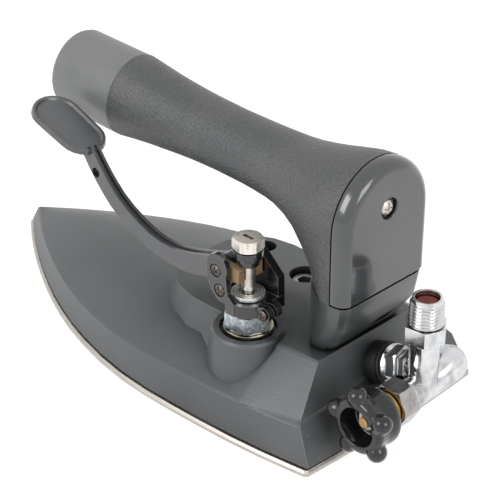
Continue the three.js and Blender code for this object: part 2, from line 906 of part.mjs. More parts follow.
function chamberCasting() {
  const valveAxis = at(valveX, valveY, 0);
  const boss = turned(alongZ, [
    [0, wallHeightAtTip],
    [bossFootRadius, wallHeightAtTip],
    [bossRadius, bossTop - bossRound],
    [bossRadius - bossRound, bossTop],
    [0, bossTop],
  ], valveAxis);
  const inletBoss = bar(flangeAxis, inletBossRadius, -inletBossDepth, -sealThickness - 2 * gap, flangeFoot);
  let body = join(tent(castingInset, castingBase, 0), raisedFlat(), boss, inletBoss);

  const roof = flatHeight - castingWall;
  let hollow = join(
    tent(castingInset + castingWall, castingBase - overrun, castingWall),
    block(
      [crownStart + castingWall, flatRear + flatLength - 2 * castingWall],
      [-flatHalfWidth + 2 * castingWall, flatHalfWidth - 2 * castingWall],
      [wallHeightAtTip, roof],
    ),
  );
  // A ledge round the inside parts the steam room above the baffle from the one below it.
  const roomInset = baffleInset + baffleLedge;
  const room = cut(
    loft([
      outlineRing(roomInset, level(castingBase - overrun)),
      outlineRing(roomInset, level(flatHeight)),
    ]),
    block([baffleEnd - baffleLedge, soleLength], acrossAll, [0, bossTop]),
  );
  const below = block([0, soleLength], acrossAll, [0, pillarBase]);
  hollow = join(hollow.intersect(below), hollow.intersect(room));
  for (const { x, y } of soleScrews) {
    hollow = cut(hollow, bar(alongZ, pillarRadius, pillarBase, flatHeight, at(x, y, 0), smallSides));
  }
  const valvePillar = bar(alongZ, valvePillarRadius, pillarBase, flatHeight, valveAxis, smallSides);
  body = cut(body, cut(hollow, valvePillar));

  for (const { x, y, rear } of soleScrews) {
    const headFoot = screwHeadTop(rear) - screwHeadHeight - gap;
    const wide = rear ? rearCounterboreRadius : frontCounterboreRadius;
    body = cut(
      body,
      bar(alongZ, wide, headFoot, bossTop + overrun, at(x, y, 0), smallSides),
      bar(alongZ, soleScrewThread + gap, castingBase, headFoot + overrun, at(x, y, 0), holeSides),
    );
  }
  const barrelFoot = bossTop - barrelDepth - gap;
  const seatFoot = barrelFoot - seatThickness - gap;
  const portMiddle = at(valveX, valveY, bossTop + portZ);
  body = cut(
    body,
    bar(alongZ, bossRecessRadius, bossTop - bossRecessDepth, bossTop + overrun, valveAxis),
    bar(alongZ, barrelRadius + gap, seatFoot, bossTop, valveAxis),
    bar(alongZ, seatBore, castingBase, seatFoot + overrun, valveAxis, holeSides),
    bar(alongY, steamPortRadius, -valvePillarRadius - overrun, 0, portMiddle, holeSides),
  );
  for (const side of [-1, 1]) {
    const top = at(bracketBoltX, side * bracketBoltY, flatHeight);
    const foot = -bracketBoltDepth - gap;
    body = cut(body, bar(alongZ, bracketBoltRadius + gap, foot, overrun, top, holeSides));
  }
  const stubFoot = -neckStubLength - gap;
  const inletHole = bar(flangeAxis, neckStubRadius + gap, stubFoot, overrun, flangeFoot, smallSides);
  const steamWay = bar(flangeAxis, neckBore, stubFoot - inletBossDepth, 0, flangeFoot, holeSides);
  return cut(body, inletHole, steamWay);
}

function socketScrew(rear) {
  const top = screwHeadTop(rear);
  const headRadius = rear ? rearScrewHeadRadius : frontScrewHeadRadius;
  const head = bar(alongZ, headRadius, top - screwHeadHeight, top, nowhere, smallSides);
  const foot = soleThickness / 2 + gap;
  const shank = bar(alongZ, soleScrewThread, foot, top - screwHeadHeight / 2, nowhere, holeSides);
  const socket = hexBar(
    alongZ, headRadius * 2 * screwSocketShare, top - screwHeadHeight / 2, top + overrun,
  );
  return cut(join(head, shank), socket);
}

// Steam valve, about its own axis from the boss's top

function valveBody() {
  const hex = chamferedHex(alongZ, valveHexFlats, hexFoot, hexTop, valveHexChamfer, nowhere, valveHexSpin);
  const neck = bar(alongZ, valveNeckRadius, hexTop - valveHexChamfer, neckTop);
  const barrel = bar(alongZ, barrelRadius, -barrelDepth, hexFoot + valveHexChamfer, nowhere, smallSides);
  const port = bar(alongY, steamPortRadius, -barrelRadius - overrun, 0, at(0, 0, portZ), holeSides);
  return cut(
    join(hex, neck, barrel),
    bar(alongZ, barrelBore, -barrelDepth - overrun, -barrelWeb, nowhere, smallSides),
    bar(alongZ, stemHole, -barrelDepth, neckTop + overrun, nowhere, smallSides),
    bar(alongZ, packingRadius + gap, neckTop - packingDepth, neckTop + overrun, nowhere, smallSides),
    port,
  );
}

function valveWasher() {
  return tube(alongZ, valveWasherRadius, barrelRadius + gap, washerFoot, washerFoot + valveWasherThickness);
}

function stemPacking() {
  const foot = neckTop - packingDepth + gap;
  return tube(alongZ, packingRadius, stemHole, foot, neckTop, nowhere, smallSides);
}

function topDisc() {
  const disc = bar(alongZ, topDiscRadius, topDiscFoot, topDiscTop);
  const recess = bar(
    alongZ, topDiscRecess, topDiscTop - topDiscRecessDepth, topDiscTop + overrun, nowhere, smallSides,
  );
  return cut(disc, recess, bar(alongZ, stemHole, topDiscFoot - overrun, topDiscTop, nowhere, smallSides));
}

function valveSeat() {
  const top = -barrelDepth - gap;
  return tube(alongZ, barrelRadius, seatBore, top - seatThickness, top, nowhere, smallSides);
}

function valveDisc() {
  const disc = bar(alongZ, valveDiscRadius, discFoot, discTop, nowhere, smallSides);
  const middle = discFoot + valveDiscThickness / 2;
  return cut(disc, bar(alongZ, stemRadius + gap, middle, discTop + overrun, nowhere, holeSides));
}

function valveStem() {
  const foot = discFoot + valveDiscThickness / 2 + gap;
  return join(
    bar(alongZ, stemRadius, foot, stemTop - stemHeadHeight / 2, nowhere, smallSides),
    bar(alongZ, stemHeadRadius, stemTop - stemHeadHeight, stemTop, nowhere, smallSides),
    bar(alongZ, capStudRadius, stemTop - stemHeadHeight / 2, capFoot + capHeight / 2, nowhere, holeSides),
  );
}

function stemCollar() {
  const top = collarFoot + collarHeight;
  const middle = collarFoot + collarHeight / 2;
  const body = turned(alongZ, [
    [0, collarFoot],
    [collarLowRadius, collarFoot],
    [collarLowRadius + collarGrooveDepth, middle - collarGrooveDepth],
    [collarLowRadius, middle],
    [collarTopRadius, middle + collarGrooveDepth],
    [collarTopRadius, top],
    [0, top],
  ], nowhere, smallSides);
  return cut(body, bar(alongZ, capStudRadius + gap, collarFoot - overrun, top + overrun, nowhere, holeSides));
}

function stemCap() {
  const top = capFoot + capHeight;
  const hex = chamferedHex(alongZ, capFlats, capFoot, top, capChamfer, nowhere, capSpin);
  const holeTop = capFoot + capHeight / 2 + gap;
  const hole = bar(alongZ, capStudRadius + gap, capFoot - overrun, holeTop, nowhere, holeSides);
  const slotHalf = (capFlats * capSlotLengthShare) / 2;
  const slot = block(
    [-slotHalf, slotHalf], [-capSlotWidth / 2, capSlotWidth / 2], [top - capSlotDepth, top + overrun],
  );
  return cut(hex, hole, slot);
}

// A closed coil of round wire, its two ends flat on the disc and under the barrel's web.
function valveSpring() {
  const from = discTop + springWire + gap;
  const to = -barrelWeb - springWire - gap;
  const coilRadius = (stemHole + barrelBore) / 2;
  const steps = springTurns * springStepsPerTurn;
  const rings = [];
  for (let i = 0; i <= steps; i++) {
    const turn = (i / springStepsPerTurn) * 2 * Math.PI;
    const out = at(Math.cos(turn), Math.sin(turn), 0);
    const middle = out.clone().multiplyScalar(coilRadius).setZ(from + ((to - from) * i) / steps);
    const ring = [];
    for (let k = 0; k < springWireSides; k++) {
      const round = (k / springWireSides) * 2 * Math.PI;
      const p = middle.clone().addScaledVector(out, -springWire * Math.cos(round));
      ring.push(p.setZ(p.z + springWire * Math.sin(round)));
    }
    rings.push(ring);
  }
  return loft(rings);
}

// Bracket on the valve's neck, in the valve's frame

const clampFoot = hexTop + gap;
const clampTop = clampFoot + clampHeight;
const nearFace = cheekInner + nearCheekThickness;
const farFace = cheekInner + farCheekThickness;
const earFace = clampSlit / 2 + earThickness;

const cheekReach = cheekTopX + cheekTopRadius;

// A cheek's outline in X and Z.
function cheekOutline(front, arcEnd, rear) {
  const corner = ([along, up]) => [along * cheekReach, up * cheekTopZ];
  const outline = new THREE.Shape();
  outline.moveTo(...corner(front[0]));
  for (const shares of front.slice(1)) outline.lineTo(...corner(shares));
  outline.absarc(cheekTopX, cheekTopZ, cheekTopRadius, cheekArcStart, arcEnd, false);
  for (const shares of rear) outline.lineTo(...corner(shares));
  outline.closePath();
  return outline;
}

function valveBracket() {
  const ring = bar(alongZ, clampRadius, clampFoot, clampTop);
  const nearShape = cheekOutline(nearCheekFrontShares, nearCheekArcEnd, nearCheekRearShares);
  const farShape = cheekOutline(farCheekFrontShares, farCheekArcEnd, farCheekRearShares);
  const near = sidePlate(nearShape, cheekInner, nearFace);
  const far = sidePlate(farShape, -farFace, -cheekInner);
  const earZ = clampFoot + earRadius;
  const ears = [1, -1].map((side) => {
    const y = [(side * clampSlit) / 2, side * earFace].sort((a, b) => a - b);
    const lug = bar(alongY, earRadius, ...y, at(-earReach, 0, earZ), smallSides);
    const root = block([-earReach, -valveNeckRadius], y, [clampFoot, clampTop]);
    return join(lug, root);
  });
  const farRoot = block(
    [farCheekRearShares.at(-1)[0] * cheekReach, -valveNeckRadius / 2],
    [-cheekInner - farCheekThickness / 2, -clampSlit / 2 - earThickness / 2],
    [clampFoot, clampTop],
  );
  const whole = join(ring, near, far, ...ears, farRoot);
  const boreFoot = clampFoot - overrun;
  const boreTop = clampTop + overrun;
  const counterbore = (x, z) => {
    const from = nearFace - cheekCounterboreDepth;
    return bar(alongY, cheekCounterbore, from, nearFace + overrun, at(x, 0, z), smallSides);
  };
  const pivotHole = pivotPinRadius + runningGap;
  const reach = nearFace + overrun;
  const ear = earFace + gap;
  return cut(
    whole,
    bar(alongZ, valveNeckRadius + gap, boreFoot, boreTop),
    block([-earReach - earRadius - overrun, 0], [-clampSlit / 2, clampSlit / 2], [boreFoot, boreTop]),
    bar(alongY, pivotHole, -farFace - overrun, reach, at(pivotX, 0, pivotZ), smallSides),
    bar(alongY, stopScrewRadius + gap, 0, reach, at(stopScrewX, 0, stopScrewZ), holeSides),
    bar(alongY, clampScrewRadius + gap, -ear, ear, at(-earReach, 0, earZ), holeSides),
    counterbore(pivotX, pivotZ),
    counterbore(stopScrewX, stopScrewZ),
  );
}

// A pan head along Y with a cross slot in its outer face, and a plain shank behind it.
function crossScrew(direction, headRadius, headHeight, shankRadius, shankLength) {
  const head = turned(direction, [
    [0, 0],
    [headRadius, 0],
    [headRadius, headHeight / 2],
    [headRadius * screwDomeShare, headHeight],
    [0, headHeight],
  ], nowhere, smallSides);
  const shank = bar(direction, shankRadius, -shankLength, headHeight / 2, nowhere, holeSides);
  const reach = headRadius * crossSlotShare;
  const slots = [0, 1].map((k) => {
    const box = new THREE.BoxGeometry(
      k ? 2 * reach : crossSlotWidth, 2 * crossSlotDepth, k ? crossSlotWidth : 2 * reach,
    );
    return placed(box.translate(0, headHeight, 0), direction, nowhere);
  });
  return cut(join(head, shank), ...slots);
}

// Thumb lever, about its pivot

// The arm's section is a rectangle with a shallow channel in its upper face. Its right side
// closes in on the left one towards the pad.
function leverArm() {
  const line = new THREE.SplineCurve(
    leverLineShares.map(([along, up]) => new THREE.Vector2(along * leverReach, up * leverRise)),
  );
  const left = leverWidth / 2;
  const rings = [];
  for (let i = 0; i <= leverSteps; i++) {
    const share = i / leverSteps;
    const root = Math.sin(Math.PI * Math.min(1, share / leverRootShare));
    const half = (leverDepth + (leverRootDepth - leverDepth) * root) / 2;
    const p = line.getPoint(share);
    const t = line.getTangent(share);
    const right = left - leverWidth + (leverWidth - leverTipWidth) * share;
    const corner = (y, height) => at(p.x - t.y * height, y, p.y + t.x * height);
    const channel = Math.max(gap, leverChannelDepth * Math.min(1, share / leverChannelShare));
    const wall = leverChannelRim + leverChannelSlope;
    rings.push([
      corner(left, half),
      corner(left - leverChannelRim, half),
      corner(left - wall, half - channel),
      corner(right + wall, half - channel),
      corner(right + leverChannelRim, half),
      corner(right, half),
      corner(right, -half),
      corner(left, -half),
    ]);
  }
  const middle = line.getPoint(leverHoleShare);
  const tangent = line.getTangent(leverHoleShare);
  const hole = at(middle.x + tangent.y * leverHoleDrop, 0, middle.y - tangent.x * leverHoleDrop);
  return cut(loft(rings), bar(alongY, leverHoleRadius, -leverWidth, leverWidth, hole, smallSides));
}

// The pad's outline as a ring: a rounder front end and a smaller rear end.
function padRing(inset, height) {
  const ring = [];
  const ends = [
    { centre: padLength / 2 - padFrontRadius, radius: padFrontRadius - inset, start: -Math.PI / 2 },
    { centre: padRearRadius - padLength / 2, radius: padRearRadius - inset, start: Math.PI / 2 },
  ];
  for (const { centre, radius, start } of ends) {
    for (let i = 0; i < padCornerPoints; i++) {
      const turn = start + (Math.PI * i) / (padCornerPoints - 1);
      ring.push(at(centre + radius * Math.cos(turn), radius * Math.sin(turn), height));
    }
  }
  return ring;
}

function leverPad() {
  const pad = loft([
    padRing(2 * padUnderRound, -padThickness),
    padRing(padUnderRound / 2, (-padThickness * (1 + padWallShare)) / 2),
    padRing(0, -padThickness * padWallShare),
    padRing(padRim / 4, 0),
    padRing(padRim, 0),
    padRing(padRim + padDish, -padDish),
  ]);
  const turn = new THREE.Quaternion().setFromAxisAngle(alongY, -padTilt);
  const geometry = toGeometry(pad).applyQuaternion(turn).translate(padCentreX, 0, padCentreZ);
  return toSolid(geometry);
}

function thumbLever() {
  const eye = bar(alongY, leverEyeRadius, -leverWidth / 2, leverWidth / 2);
  const hole = bar(alongY, pivotPinRadius + runningGap, -leverWidth, leverWidth, nowhere, smallSides);
  return cut(join(leverArm(), eye, leverPad()), hole);
}

// Two thick prongs astride the lever's eye. Their upper edges carry the collar and fall away
// behind the stem, so that they stay clear of it when the lever is pressed.
function lifterFork() {
  const top = collarFoot - pivotZ - gap;
  const prong = new THREE.Shape();
  prong.moveTo(0, -forkEyeRadius);
  prong.absarc(0, 0, forkEyeRadius, -Math.PI / 2, Math.asin(top / forkEyeRadius), false);
  prong.lineTo(-pivotX, top);
  prong.lineTo(-forkReach, top - forkTipFall);
  prong.lineTo(-forkReach, top - forkDepth);
  prong.lineTo(-forkEyeRadius, top - forkDepth);
  prong.closePath();
  const inner = leverWidth / 2 + gap;
  const outer = inner + forkThickness;
  const web = block(
    [-forkEyeRadius, 0],
    [-outer, outer],
    [-leverEyeRadius - gap - forkWebThickness, -leverEyeRadius - gap],
  );
  const webWall = (side) => block(
    [-forkEyeRadius, 0],
    side > 0 ? [inner, outer] : [-outer, -inner],
    [-leverEyeRadius - gap - forkWebThickness, 0],
  );
  const reach = outer + overrun;
  const hole = bar(alongY, pivotPinRadius + runningGap, -reach, reach, nowhere, smallSides);
  return cut(
    join(sidePlate(prong, inner, outer), sidePlate(prong, -outer, -inner), web, webWall(1), webWall(-1)),
    hole,
  );
}

// Handle

// One upright section across the grip, at a share of the run from the seam to the front end.
function gripRing(share) {
  const next = Math.max(1, gripShares.findIndex((row) => row.along >= share));
  const a = gripShares[next - 1];
  const b = gripShares[next];
  const part = (share - a.along) / (b.along - a.along);
  const mix = (key) => a[key] + (b[key] - a[key]) * part;
  const top = mix("top") * (archCentreZ + postHalfWidth);
  const wide = mix("wide") * postHalfWidth;
  const low = mix("low") * gripAxisZ;
  const settle = Math.min(1, share / gripSettleShare);
  const middle = archCentreZ + (gripAxisZ - archCentreZ) * settle;
  const lean = capSeamLean * share ** gripLeanPower;
  const ring = [];
  for (let k = 0; k < sectionPoints; k++) {
    const turn = (2 * Math.PI * k) / sectionPoints;
    const rise = Math.sin(turn) * (Math.sin(turn) > 0 ? top - middle : low);
    ring.push(at(
      seamX + share * (gripEnd - seamX) - lean * rise, wide * Math.cos(turn), middle + rise,
    ));
  }
  return ring;
}

function gripSleeve() {
  const rings = [];
  for (let i = 0; i <= gripSteps; i++) rings.push(gripRing((i / gripSteps) ** gripStepPower));
  const whole = loft(rings);
  const gripLowest = archCentreZ - 2 * gripShares[0].low * gripAxisZ;
  const below = block(
    [seamX - overrun, gripEnd], [-2 * postHalfWidth, 2 * postHalfWidth], [gripLowest, postBottom],
  );
  const postPocket = block(
    [seamX - overrun, postPocketFront],
    [-postPocketHalfWidth, postPocketHalfWidth],
    [postBottom - overrun, gripAxisZ],
  );
  const socketEnd = coreStart + coreSocketDepth;
  const axis = at(0, 0, gripAxisZ);
  return cut(
    whole, below, postPocket,
    bar(alongX, socketPocket, seamX - overrun, socketEnd + gap, axis),
    bar(alongX, coreRadius + gap, seamX, gripEnd + 2 * overrun, axis, smallSides),
  );
}

// A cap of oval section whose ends lean back with the seam.
function frontCap() {
  const bore = coreRadius + gap;
  const recess = frontCapLength - frontCapRound - frontCapWall;
  const shape = new THREE.Matrix4().makeShear(0, frontCapRise, 0, 0, -capSeamLean, 0);
  shape.multiply(new THREE.Matrix4().makeScale(1, capWidthShare, 1));
  const shaped = (solid) => toSolid(toGeometry(solid).applyMatrix4(shape));
  const shell = turned(alongX, [
    [0, 0],
    [frontCapRadius, 0],
    [frontCapRadius, frontCapLength - frontCapRound],
    [frontCapRadius - frontCapRound * roundShare, frontCapLength - frontCapRound * roundShare],
    [frontCapRadius - frontCapRound, frontCapLength],
    [0, frontCapLength],
  ], nowhere, capSides);
  const hub = (bore + frontCapHub) / capWidthShare;
  const room = tube(alongX, frontCapRadius - frontCapWall, hub, -overrun, recess);
  return cut(shaped(shell), shaped(room), bar(alongX, bore, -2 * overrun, coreEndInCap + gap));
}

function handleCore() {
  const middle = at(corePinX, 0, 0);
  const pin = bar(alongY, corePinRadius + gap, -2 * coreRadius, 2 * coreRadius, middle, holeSides);
  const end = gripEnd + gap + coreEndInCap;
  return cut(tube(alongX, coreRadius, coreBore, coreStart, end, nowhere, smallSides), pin);
}

// A D-shaped outline of the handle's foot: straight rear edge, rounded rear corners and a
// half-ellipse in front.
function footRing(rear, halfWidth, front, height) {
  const half = [];
  for (let i = 0; i <= footCornerSteps; i++) {
    const turn = Math.PI - (Math.PI / 2) * (i / footCornerSteps);
    const x = rear + footCornerRadius * (1 + Math.cos(turn));
    half.push(at(x, halfWidth - footCornerRadius * (1 - Math.sin(turn)), height));
  }
  const middle = rear + footCornerRadius + footSideRun;
  for (let i = 0; i < footFrontSteps; i++) {
    const turn = (Math.PI / 2) * (1 - i / footFrontSteps);
    half.push(at(middle + (front - middle) * Math.cos(turn), halfWidth * Math.sin(turn), height));
  }
  return [...half.map((p) => at(p.x, -p.y, p.z)), at(front, 0, height), ...half.reverse()];
}

function handleBracket() {
  const foot = flatHeight + gap;
  const top = postBottom - gap;
  const base = loft([
    footRing(footBottomRear, footBottomHalfWidth, footBottomFront, foot),
    footRing(footWaistRear, footWaistHalfWidth, footWaistFront, flatHeight + footWaistShare * footHeight),
    footRing(footTopRear, footTopHalfWidth, footTopFront, top),
  ]);
  const upright = block(
    [uprightRear, uprightFront], [-uprightHalfWidth, uprightHalfWidth], [top - overrun, gripAxisZ],
  );
  const axis = at(0, 0, gripAxisZ);
  const socketRear = seamX + gap;
  const socketEnd = coreStart + coreSocketDepth;
  const socket = bar(alongX, socketRadius, socketRear, socketEnd, axis);
  const reach = socketRadius + overrun;
  const screwAxis = at(0, 0, coverScrewZ);
  const pinAxis = at(corePinX, 0, gripAxisZ);
  let bracket = join(base, upright, socket);
  bracket = cut(
    bracket,
    bar(alongX, coreRadius + gap, coreStart - gap, socketEnd + overrun, axis, smallSides),
    bar(alongX, coverScrewRadius + gap, socketRear - overrun, coreStart + overrun, screwAxis, holeSides),
    bar(alongY, corePinRadius + gap, -reach, reach, pinAxis, holeSides),
  );
  for (const side of [-1, 1]) {
    const middle = at(bracketBoltX, side * bracketBoltY, 0);
    const hole = bar(alongZ, bracketBoltRadius + gap, foot - overrun, top + overrun, middle, holeSides);
    bracket = cut(bracket, hole);
  }
  const notch = loft(footNotchShares.map(({ up, right, left }) => {
    const z = flatHeight + up * footHeight;
    const [y0, y1] = [right * footBottomHalfWidth, left * footBottomHalfWidth];
    return [at(0, y0, z), at(footNotchFront, y0, z), at(footNotchFront, y1, z), at(0, y1, z)];
  }));
  return cut(bracket, notch);
}

function bracketBolt() {
  const seat = postBottom;
  const head = bar(alongZ, bracketBoltHeadRadius, seat, seat + bracketBoltHeadHeight, nowhere, smallSides);
  const shank = bar(alongZ, bracketBoltRadius, flatHeight - bracketBoltDepth, seat + gap, nowhere, holeSides);
  const socket = hexBar(
    alongZ, bracketBoltHeadRadius * 2 * screwSocketShare,
    seat + bracketBoltHeadHeight / 2, seat + bracketBoltHeadHeight + overrun,
  );
  return cut(join(head, shank), socket);
}

// The rear cover's outline at one depth, drawn in at its sides and, by another inset, at its top.
function archRing(x, sideInset, topInset, bottom) {
  const half = postHalfWidth - sideInset;
  const rise = postHalfWidth - topInset;
  const ring = [at(x, half, bottom)];
  for (let i = 0; i <= archPoints; i++) {
    const turn = (Math.PI * i) / archPoints;
    ring.push(at(x, half * Math.cos(turn), archCentreZ + rise * Math.sin(turn)));
  }
  ring.push(at(x, -half, bottom));
  return ring;
}

function rearCover() {
  const front = seamX - gap;
  const bottom = postBottom + coverLift;
  const rings = [];
  for (let i = 0; i <= coverSteps; i++) {
    const turn = (Math.PI / 2) * (i / coverSteps);
    const x = coverBackX + coverRimDepth * (1 - Math.cos(turn));
    rings.push(archRing(x, coverSideRim * (1 - Math.sin(turn)), coverTopRim * (1 - Math.sin(turn)), bottom));
  }
  rings.push(archRing(front, 0, 0, bottom));
  const inside = coverBackX + coverWall;
  const pocket = loft([
    archRing(inside, coverSideRim + coverWall, coverTopRim + coverWall, bottom + coverWall),
    archRing(front + overrun, 2 * coverWall, 2 * coverWall, bottom + coverWall),
  ]);
  const screwAxis = at(0, 0, coverScrewZ);
  const boss = bar(alongX, coverBossRadius, coverBackX + coverWall / 2, seamX, screwAxis, smallSides);
  const recessFloor = coverBackX + coverScrewRecessDepth;
  return cut(
    join(cut(loft(rings), pocket), boss),
    bar(alongX, coverScrewRecess, coverBackX - overrun, recessFloor, screwAxis, smallSides),
    bar(alongX, coverScrewRadius + gap, coverBackX, seamX + overrun, screwAxis, holeSides),
  );
}

// Inlet, about the nipple's axis at the height of the needle valve's axis

function flangeSeal() {
  return tube(alongY, sealRadius, neckStubRadius + gap, -sealThickness - gap, -gap);
}

function flangeNut() {
  const round = flangeThickness / 3;
  const flange = turned(alongY, [
    [0, 0],
    [flangeRadius - round, 0],
    [flangeRadius, round],
    [flangeRadius, flangeThickness - round],
    [flangeRadius - 2 * round, flangeThickness],
    [0, flangeThickness],
  ]);
  const top = flangeThickness + flangeNutHeight;
  const hex = chamferedHex(alongY, flangeNutFlats, flangeThickness - gap, top, valveHexChamfer);
  const hole = bar(alongY, neckStubRadius + gap, -overrun, top + overrun, nowhere, smallSides);
  return cut(join(flange, hex), hole);
}

// A ring of the runner, across its axis.
function runnerRing(y, radius, rise) {
  const ring = [];
  for (let i = 0; i < roundSides; i++) {
    const turn = (2 * Math.PI * i) / roundSides;
    ring.push(at(radius * Math.sin(turn), y, rise + radius * Math.cos(turn)));
  }
  return ring;
}

// The runner from its closed, domed end, where it is thickest, to the rim at its open end.
function elbowRunner() {
  const domeY = elbowDomeRadius - elbowLength;
  const rings = [];
  for (let i = 0; i < domeSteps; i++) {
    const turn = (Math.PI / 2) * (i / domeSteps);
    const y = domeY - elbowDomeRadius * Math.cos(turn);
    rings.push(runnerRing(y, elbowDomeRadius * Math.sin(turn), elbowDomeRise));
  }
  for (let i = 0; i <= elbowSwellSteps; i++) {
    const share = i / elbowSwellSteps;
    const left = 1 - THREE.MathUtils.smoothstep(share, 0, 1);
    const radius = elbowRadius + (elbowDomeRadius - elbowRadius) * left;
    rings.push(runnerRing(domeY * (1 - share), radius, elbowDomeRise * left));
  }
  const rim = elbowFrontEnd - elbowRimLength;
  rings.push(runnerRing(rim, elbowRadius, 0));
  rings.push(runnerRing(rim, elbowRimRadius, 0));
  rings.push(runnerRing(elbowFrontEnd, elbowRimRadius, 0));
  return loft(rings, false, true);
}

function elbowBody() {
  const runner = elbowRunner();
  const column = bar(alongZ, columnRadius, 0, columnTop);
  const foot = flangeFoot.clone().sub(inletOrigin);
  const stub = bar(flangeAxis, neckStubRadius, -neckStubLength, neckReach, foot, smallSides);
  const neck = bar(flangeAxis, neckRadius, neckCollarFoot, neckReach, foot, smallSides);
  const collar = hexBar(
    flangeAxis, 2 * neckCollarRadius * Math.cos(Math.PI / 6), neckCollarFoot,
    neckCollarFoot + neckCollarLength, foot,
  );
  // Steam comes down the column, past the needle and up to the neck.
  const neckEnd = neckReach - columnRadius;
  const chamberMiddle = at(0, elbowFrontEnd - chamberDepth + passageRadius, 0);
  const passage = foot.clone().addScaledVector(flangeAxis, neckEnd).sub(chamberMiddle);
  const stubHoleFoot = columnTop - nippleStubLength - gap;
  return cut(
    join(runner, column, stub, neck, collar),
    bar(alongZ, nippleStubRadius + gap, stubHoleFoot, columnTop + overrun, nowhere, smallSides),
    bar(alongZ, columnSteamBore, 0, columnTop, nowhere, holeSides),
    bar(flangeAxis, neckBore, -neckStubLength - overrun, neckEnd, foot, holeSides),
    bar(passage.clone().normalize(), passageRadius, 0, passage.length(), chamberMiddle, holeSides),
    bar(alongY, chamberRadius, elbowFrontEnd - chamberDepth, elbowFrontEnd + overrun, nowhere, smallSides),
    bar(alongY, needleSeatBore, 0, elbowFrontEnd, nowhere, holeSides),
  );
}

const nippleFoot = columnTop + gap;
const nippleHexFoot = nippleFoot + nippleCollarHeight;
const threadFoot = nippleHexFoot + nippleHexHeight;
const nippleTop = threadFoot + threadLength;

function inletNipple() {
  const profile = [
    [0, threadFoot - gap],
    [threadBaseRadius - threadDepth, threadFoot - gap],
  ];
  const ridges = Math.floor((threadLength - threadPitch / 2) / threadPitch);
  for (let i = 0; i < ridges; i++) {
    const crest = threadBaseRadius - ((threadBaseRadius - threadTopRadius) * i) / ridges;
    const z = threadFoot + i * threadPitch;
    profile.push([crest - threadDepth, z]);
    profile.push([crest, z + threadPitch / 2]);
  }
  const lastZ = threadFoot + ridges * threadPitch;
  profile.push([threadTopRadius - threadDepth, lastZ]);
  profile.push([threadTopRadius - threadDepth, nippleTop]);
  profile.push([0, nippleTop]);
  const thread = turned(alongZ, profile);
  const round = nippleCollarHeight / 2;
  const collar = turned(alongZ, [
    [0, nippleFoot],
    [nippleCollarRadius - round, nippleFoot],
    [nippleCollarRadius, nippleFoot + round],
    [nippleCollarRadius, nippleHexFoot],
    [0, nippleHexFoot],
  ]);
  const hex = hexBar(alongZ, nippleHexFlats, nippleHexFoot - gap, threadFoot, nowhere, nippleHexSpin);
  const stubFoot = columnTop - nippleStubLength;
  const stub = bar(alongZ, nippleStubRadius, stubFoot, nippleHexFoot, nowhere, smallSides);
  const boreFoot = nippleTop - plugSink - plugLength - gap;
  return cut(
    join(thread, collar, hex, stub),
    bar(alongZ, nippleSteamBore, 0, nippleTop, nowhere, holeSides),
    bar(alongZ, nippleBore, boreFoot, nippleTop + overrun, nowhere, smallSides),
  );
}

function dustPlug() {
  const top = nippleTop - plugSink;
  return turned(alongZ, [
    [0, top - plugLength],
    [plugRadius, top - plugLength],
    [plugRadius, top - plugDomeHeight],
    [plugRadius / 2, top],
    [0, top],
  ], nowhere, smallSides);
}

// Needle valve, on the left end of the elbow's barrel

const glandFoot = elbowFrontEnd + gap;
const glandTop = glandFoot + glandLength;
const glandRingTop = glandTop + gap + ringLength;
const knobBack = glandRingTop + gap;
const needleShoulder = elbowFrontEnd - chamberDepth + gap;
const knobWebFront = knobBack + knobLength - knobCupDepth;

function glandNut() {
  const hex = chamferedHex(alongY, glandFlats, glandFoot, glandTop, glandChamfer, nowhere, glandSpin);
  const spigotEnd = glandTop - glandChamfer;
  const spigotFoot = glandFoot - glandSpigotLength;
  const spigot = bar(alongY, glandSpigotRadius, spigotFoot, spigotEnd, nowhere, smallSides);
  const bore = bar(alongY, glandBore, 0, glandTop + overrun, nowhere, smallSides);
  return cut(join(hex, spigot), bore);
}

function glandRing() {
  return tube(alongY, ringRadius, glandBore, glandTop + gap, glandRingTop);
}

function needlePacking() {
  const end = glandFoot - glandSpigotLength - gap;
  return tube(alongY, needlePackingRadius, glandBore, end - needlePackingLength, end, nowhere, smallSides);
}

// The needle only slides, while the spindle behind it turns.
function needleTip() {
  return turned(alongY, [
    [0, needleShoulder - needleLength],
    [needleTipRadius, needleShoulder - needleLength],
    [needleSeatBore - gap, needleShoulder - gap],
    [spindleRadius, needleShoulder],
    [spindleRadius, needleShoulder + needleHeadLength],
    [0, needleShoulder + needleHeadLength],
  ], nowhere, smallSides);
}

function needleSpindle() {
  return bar(alongY, spindleRadius, needleShoulder + needleHeadLength + gap, spindleEnd, nowhere, smallSides);
}

// A waisted wheel with a round nub for each finger near its front rim.
function knob() {
  const front = knobBack + knobLength;
  const profile = knobShares.map(([wide, along]) => [wide * knobRadius, knobBack + along * knobLength]);
  const nubs = Array.from({ length: knobNubs }, (_, i) => {
    const turn = knobNubSpin + (2 * Math.PI * i) / knobNubs;
    const ball = new THREE.SphereGeometry(knobNubRadius, smallSides, holeSides);
    return toSolid(ball.translate(
      knobNubReach * Math.cos(turn), knobBack + knobNubShare * knobLength, knobNubReach * Math.sin(turn),
    ));
  });
  return cut(
    join(turned(alongY, profile), ...nubs),
    bar(alongY, knobCupRadius, knobWebFront, front + overrun),
    bar(alongY, spindleRadius + gap, knobBack - overrun, front, nowhere, smallSides),
  );
}

function knobNut() {
  const foot = knobWebFront + gap;
  const nut = hexBar(alongY, knobNutFlats, foot, foot + knobNutHeight);
  const top = foot + knobNutHeight + overrun;
  return cut(nut, bar(alongY, spindleRadius + gap, foot - overrun, top, nowhere, smallSides));
}

// Finishes

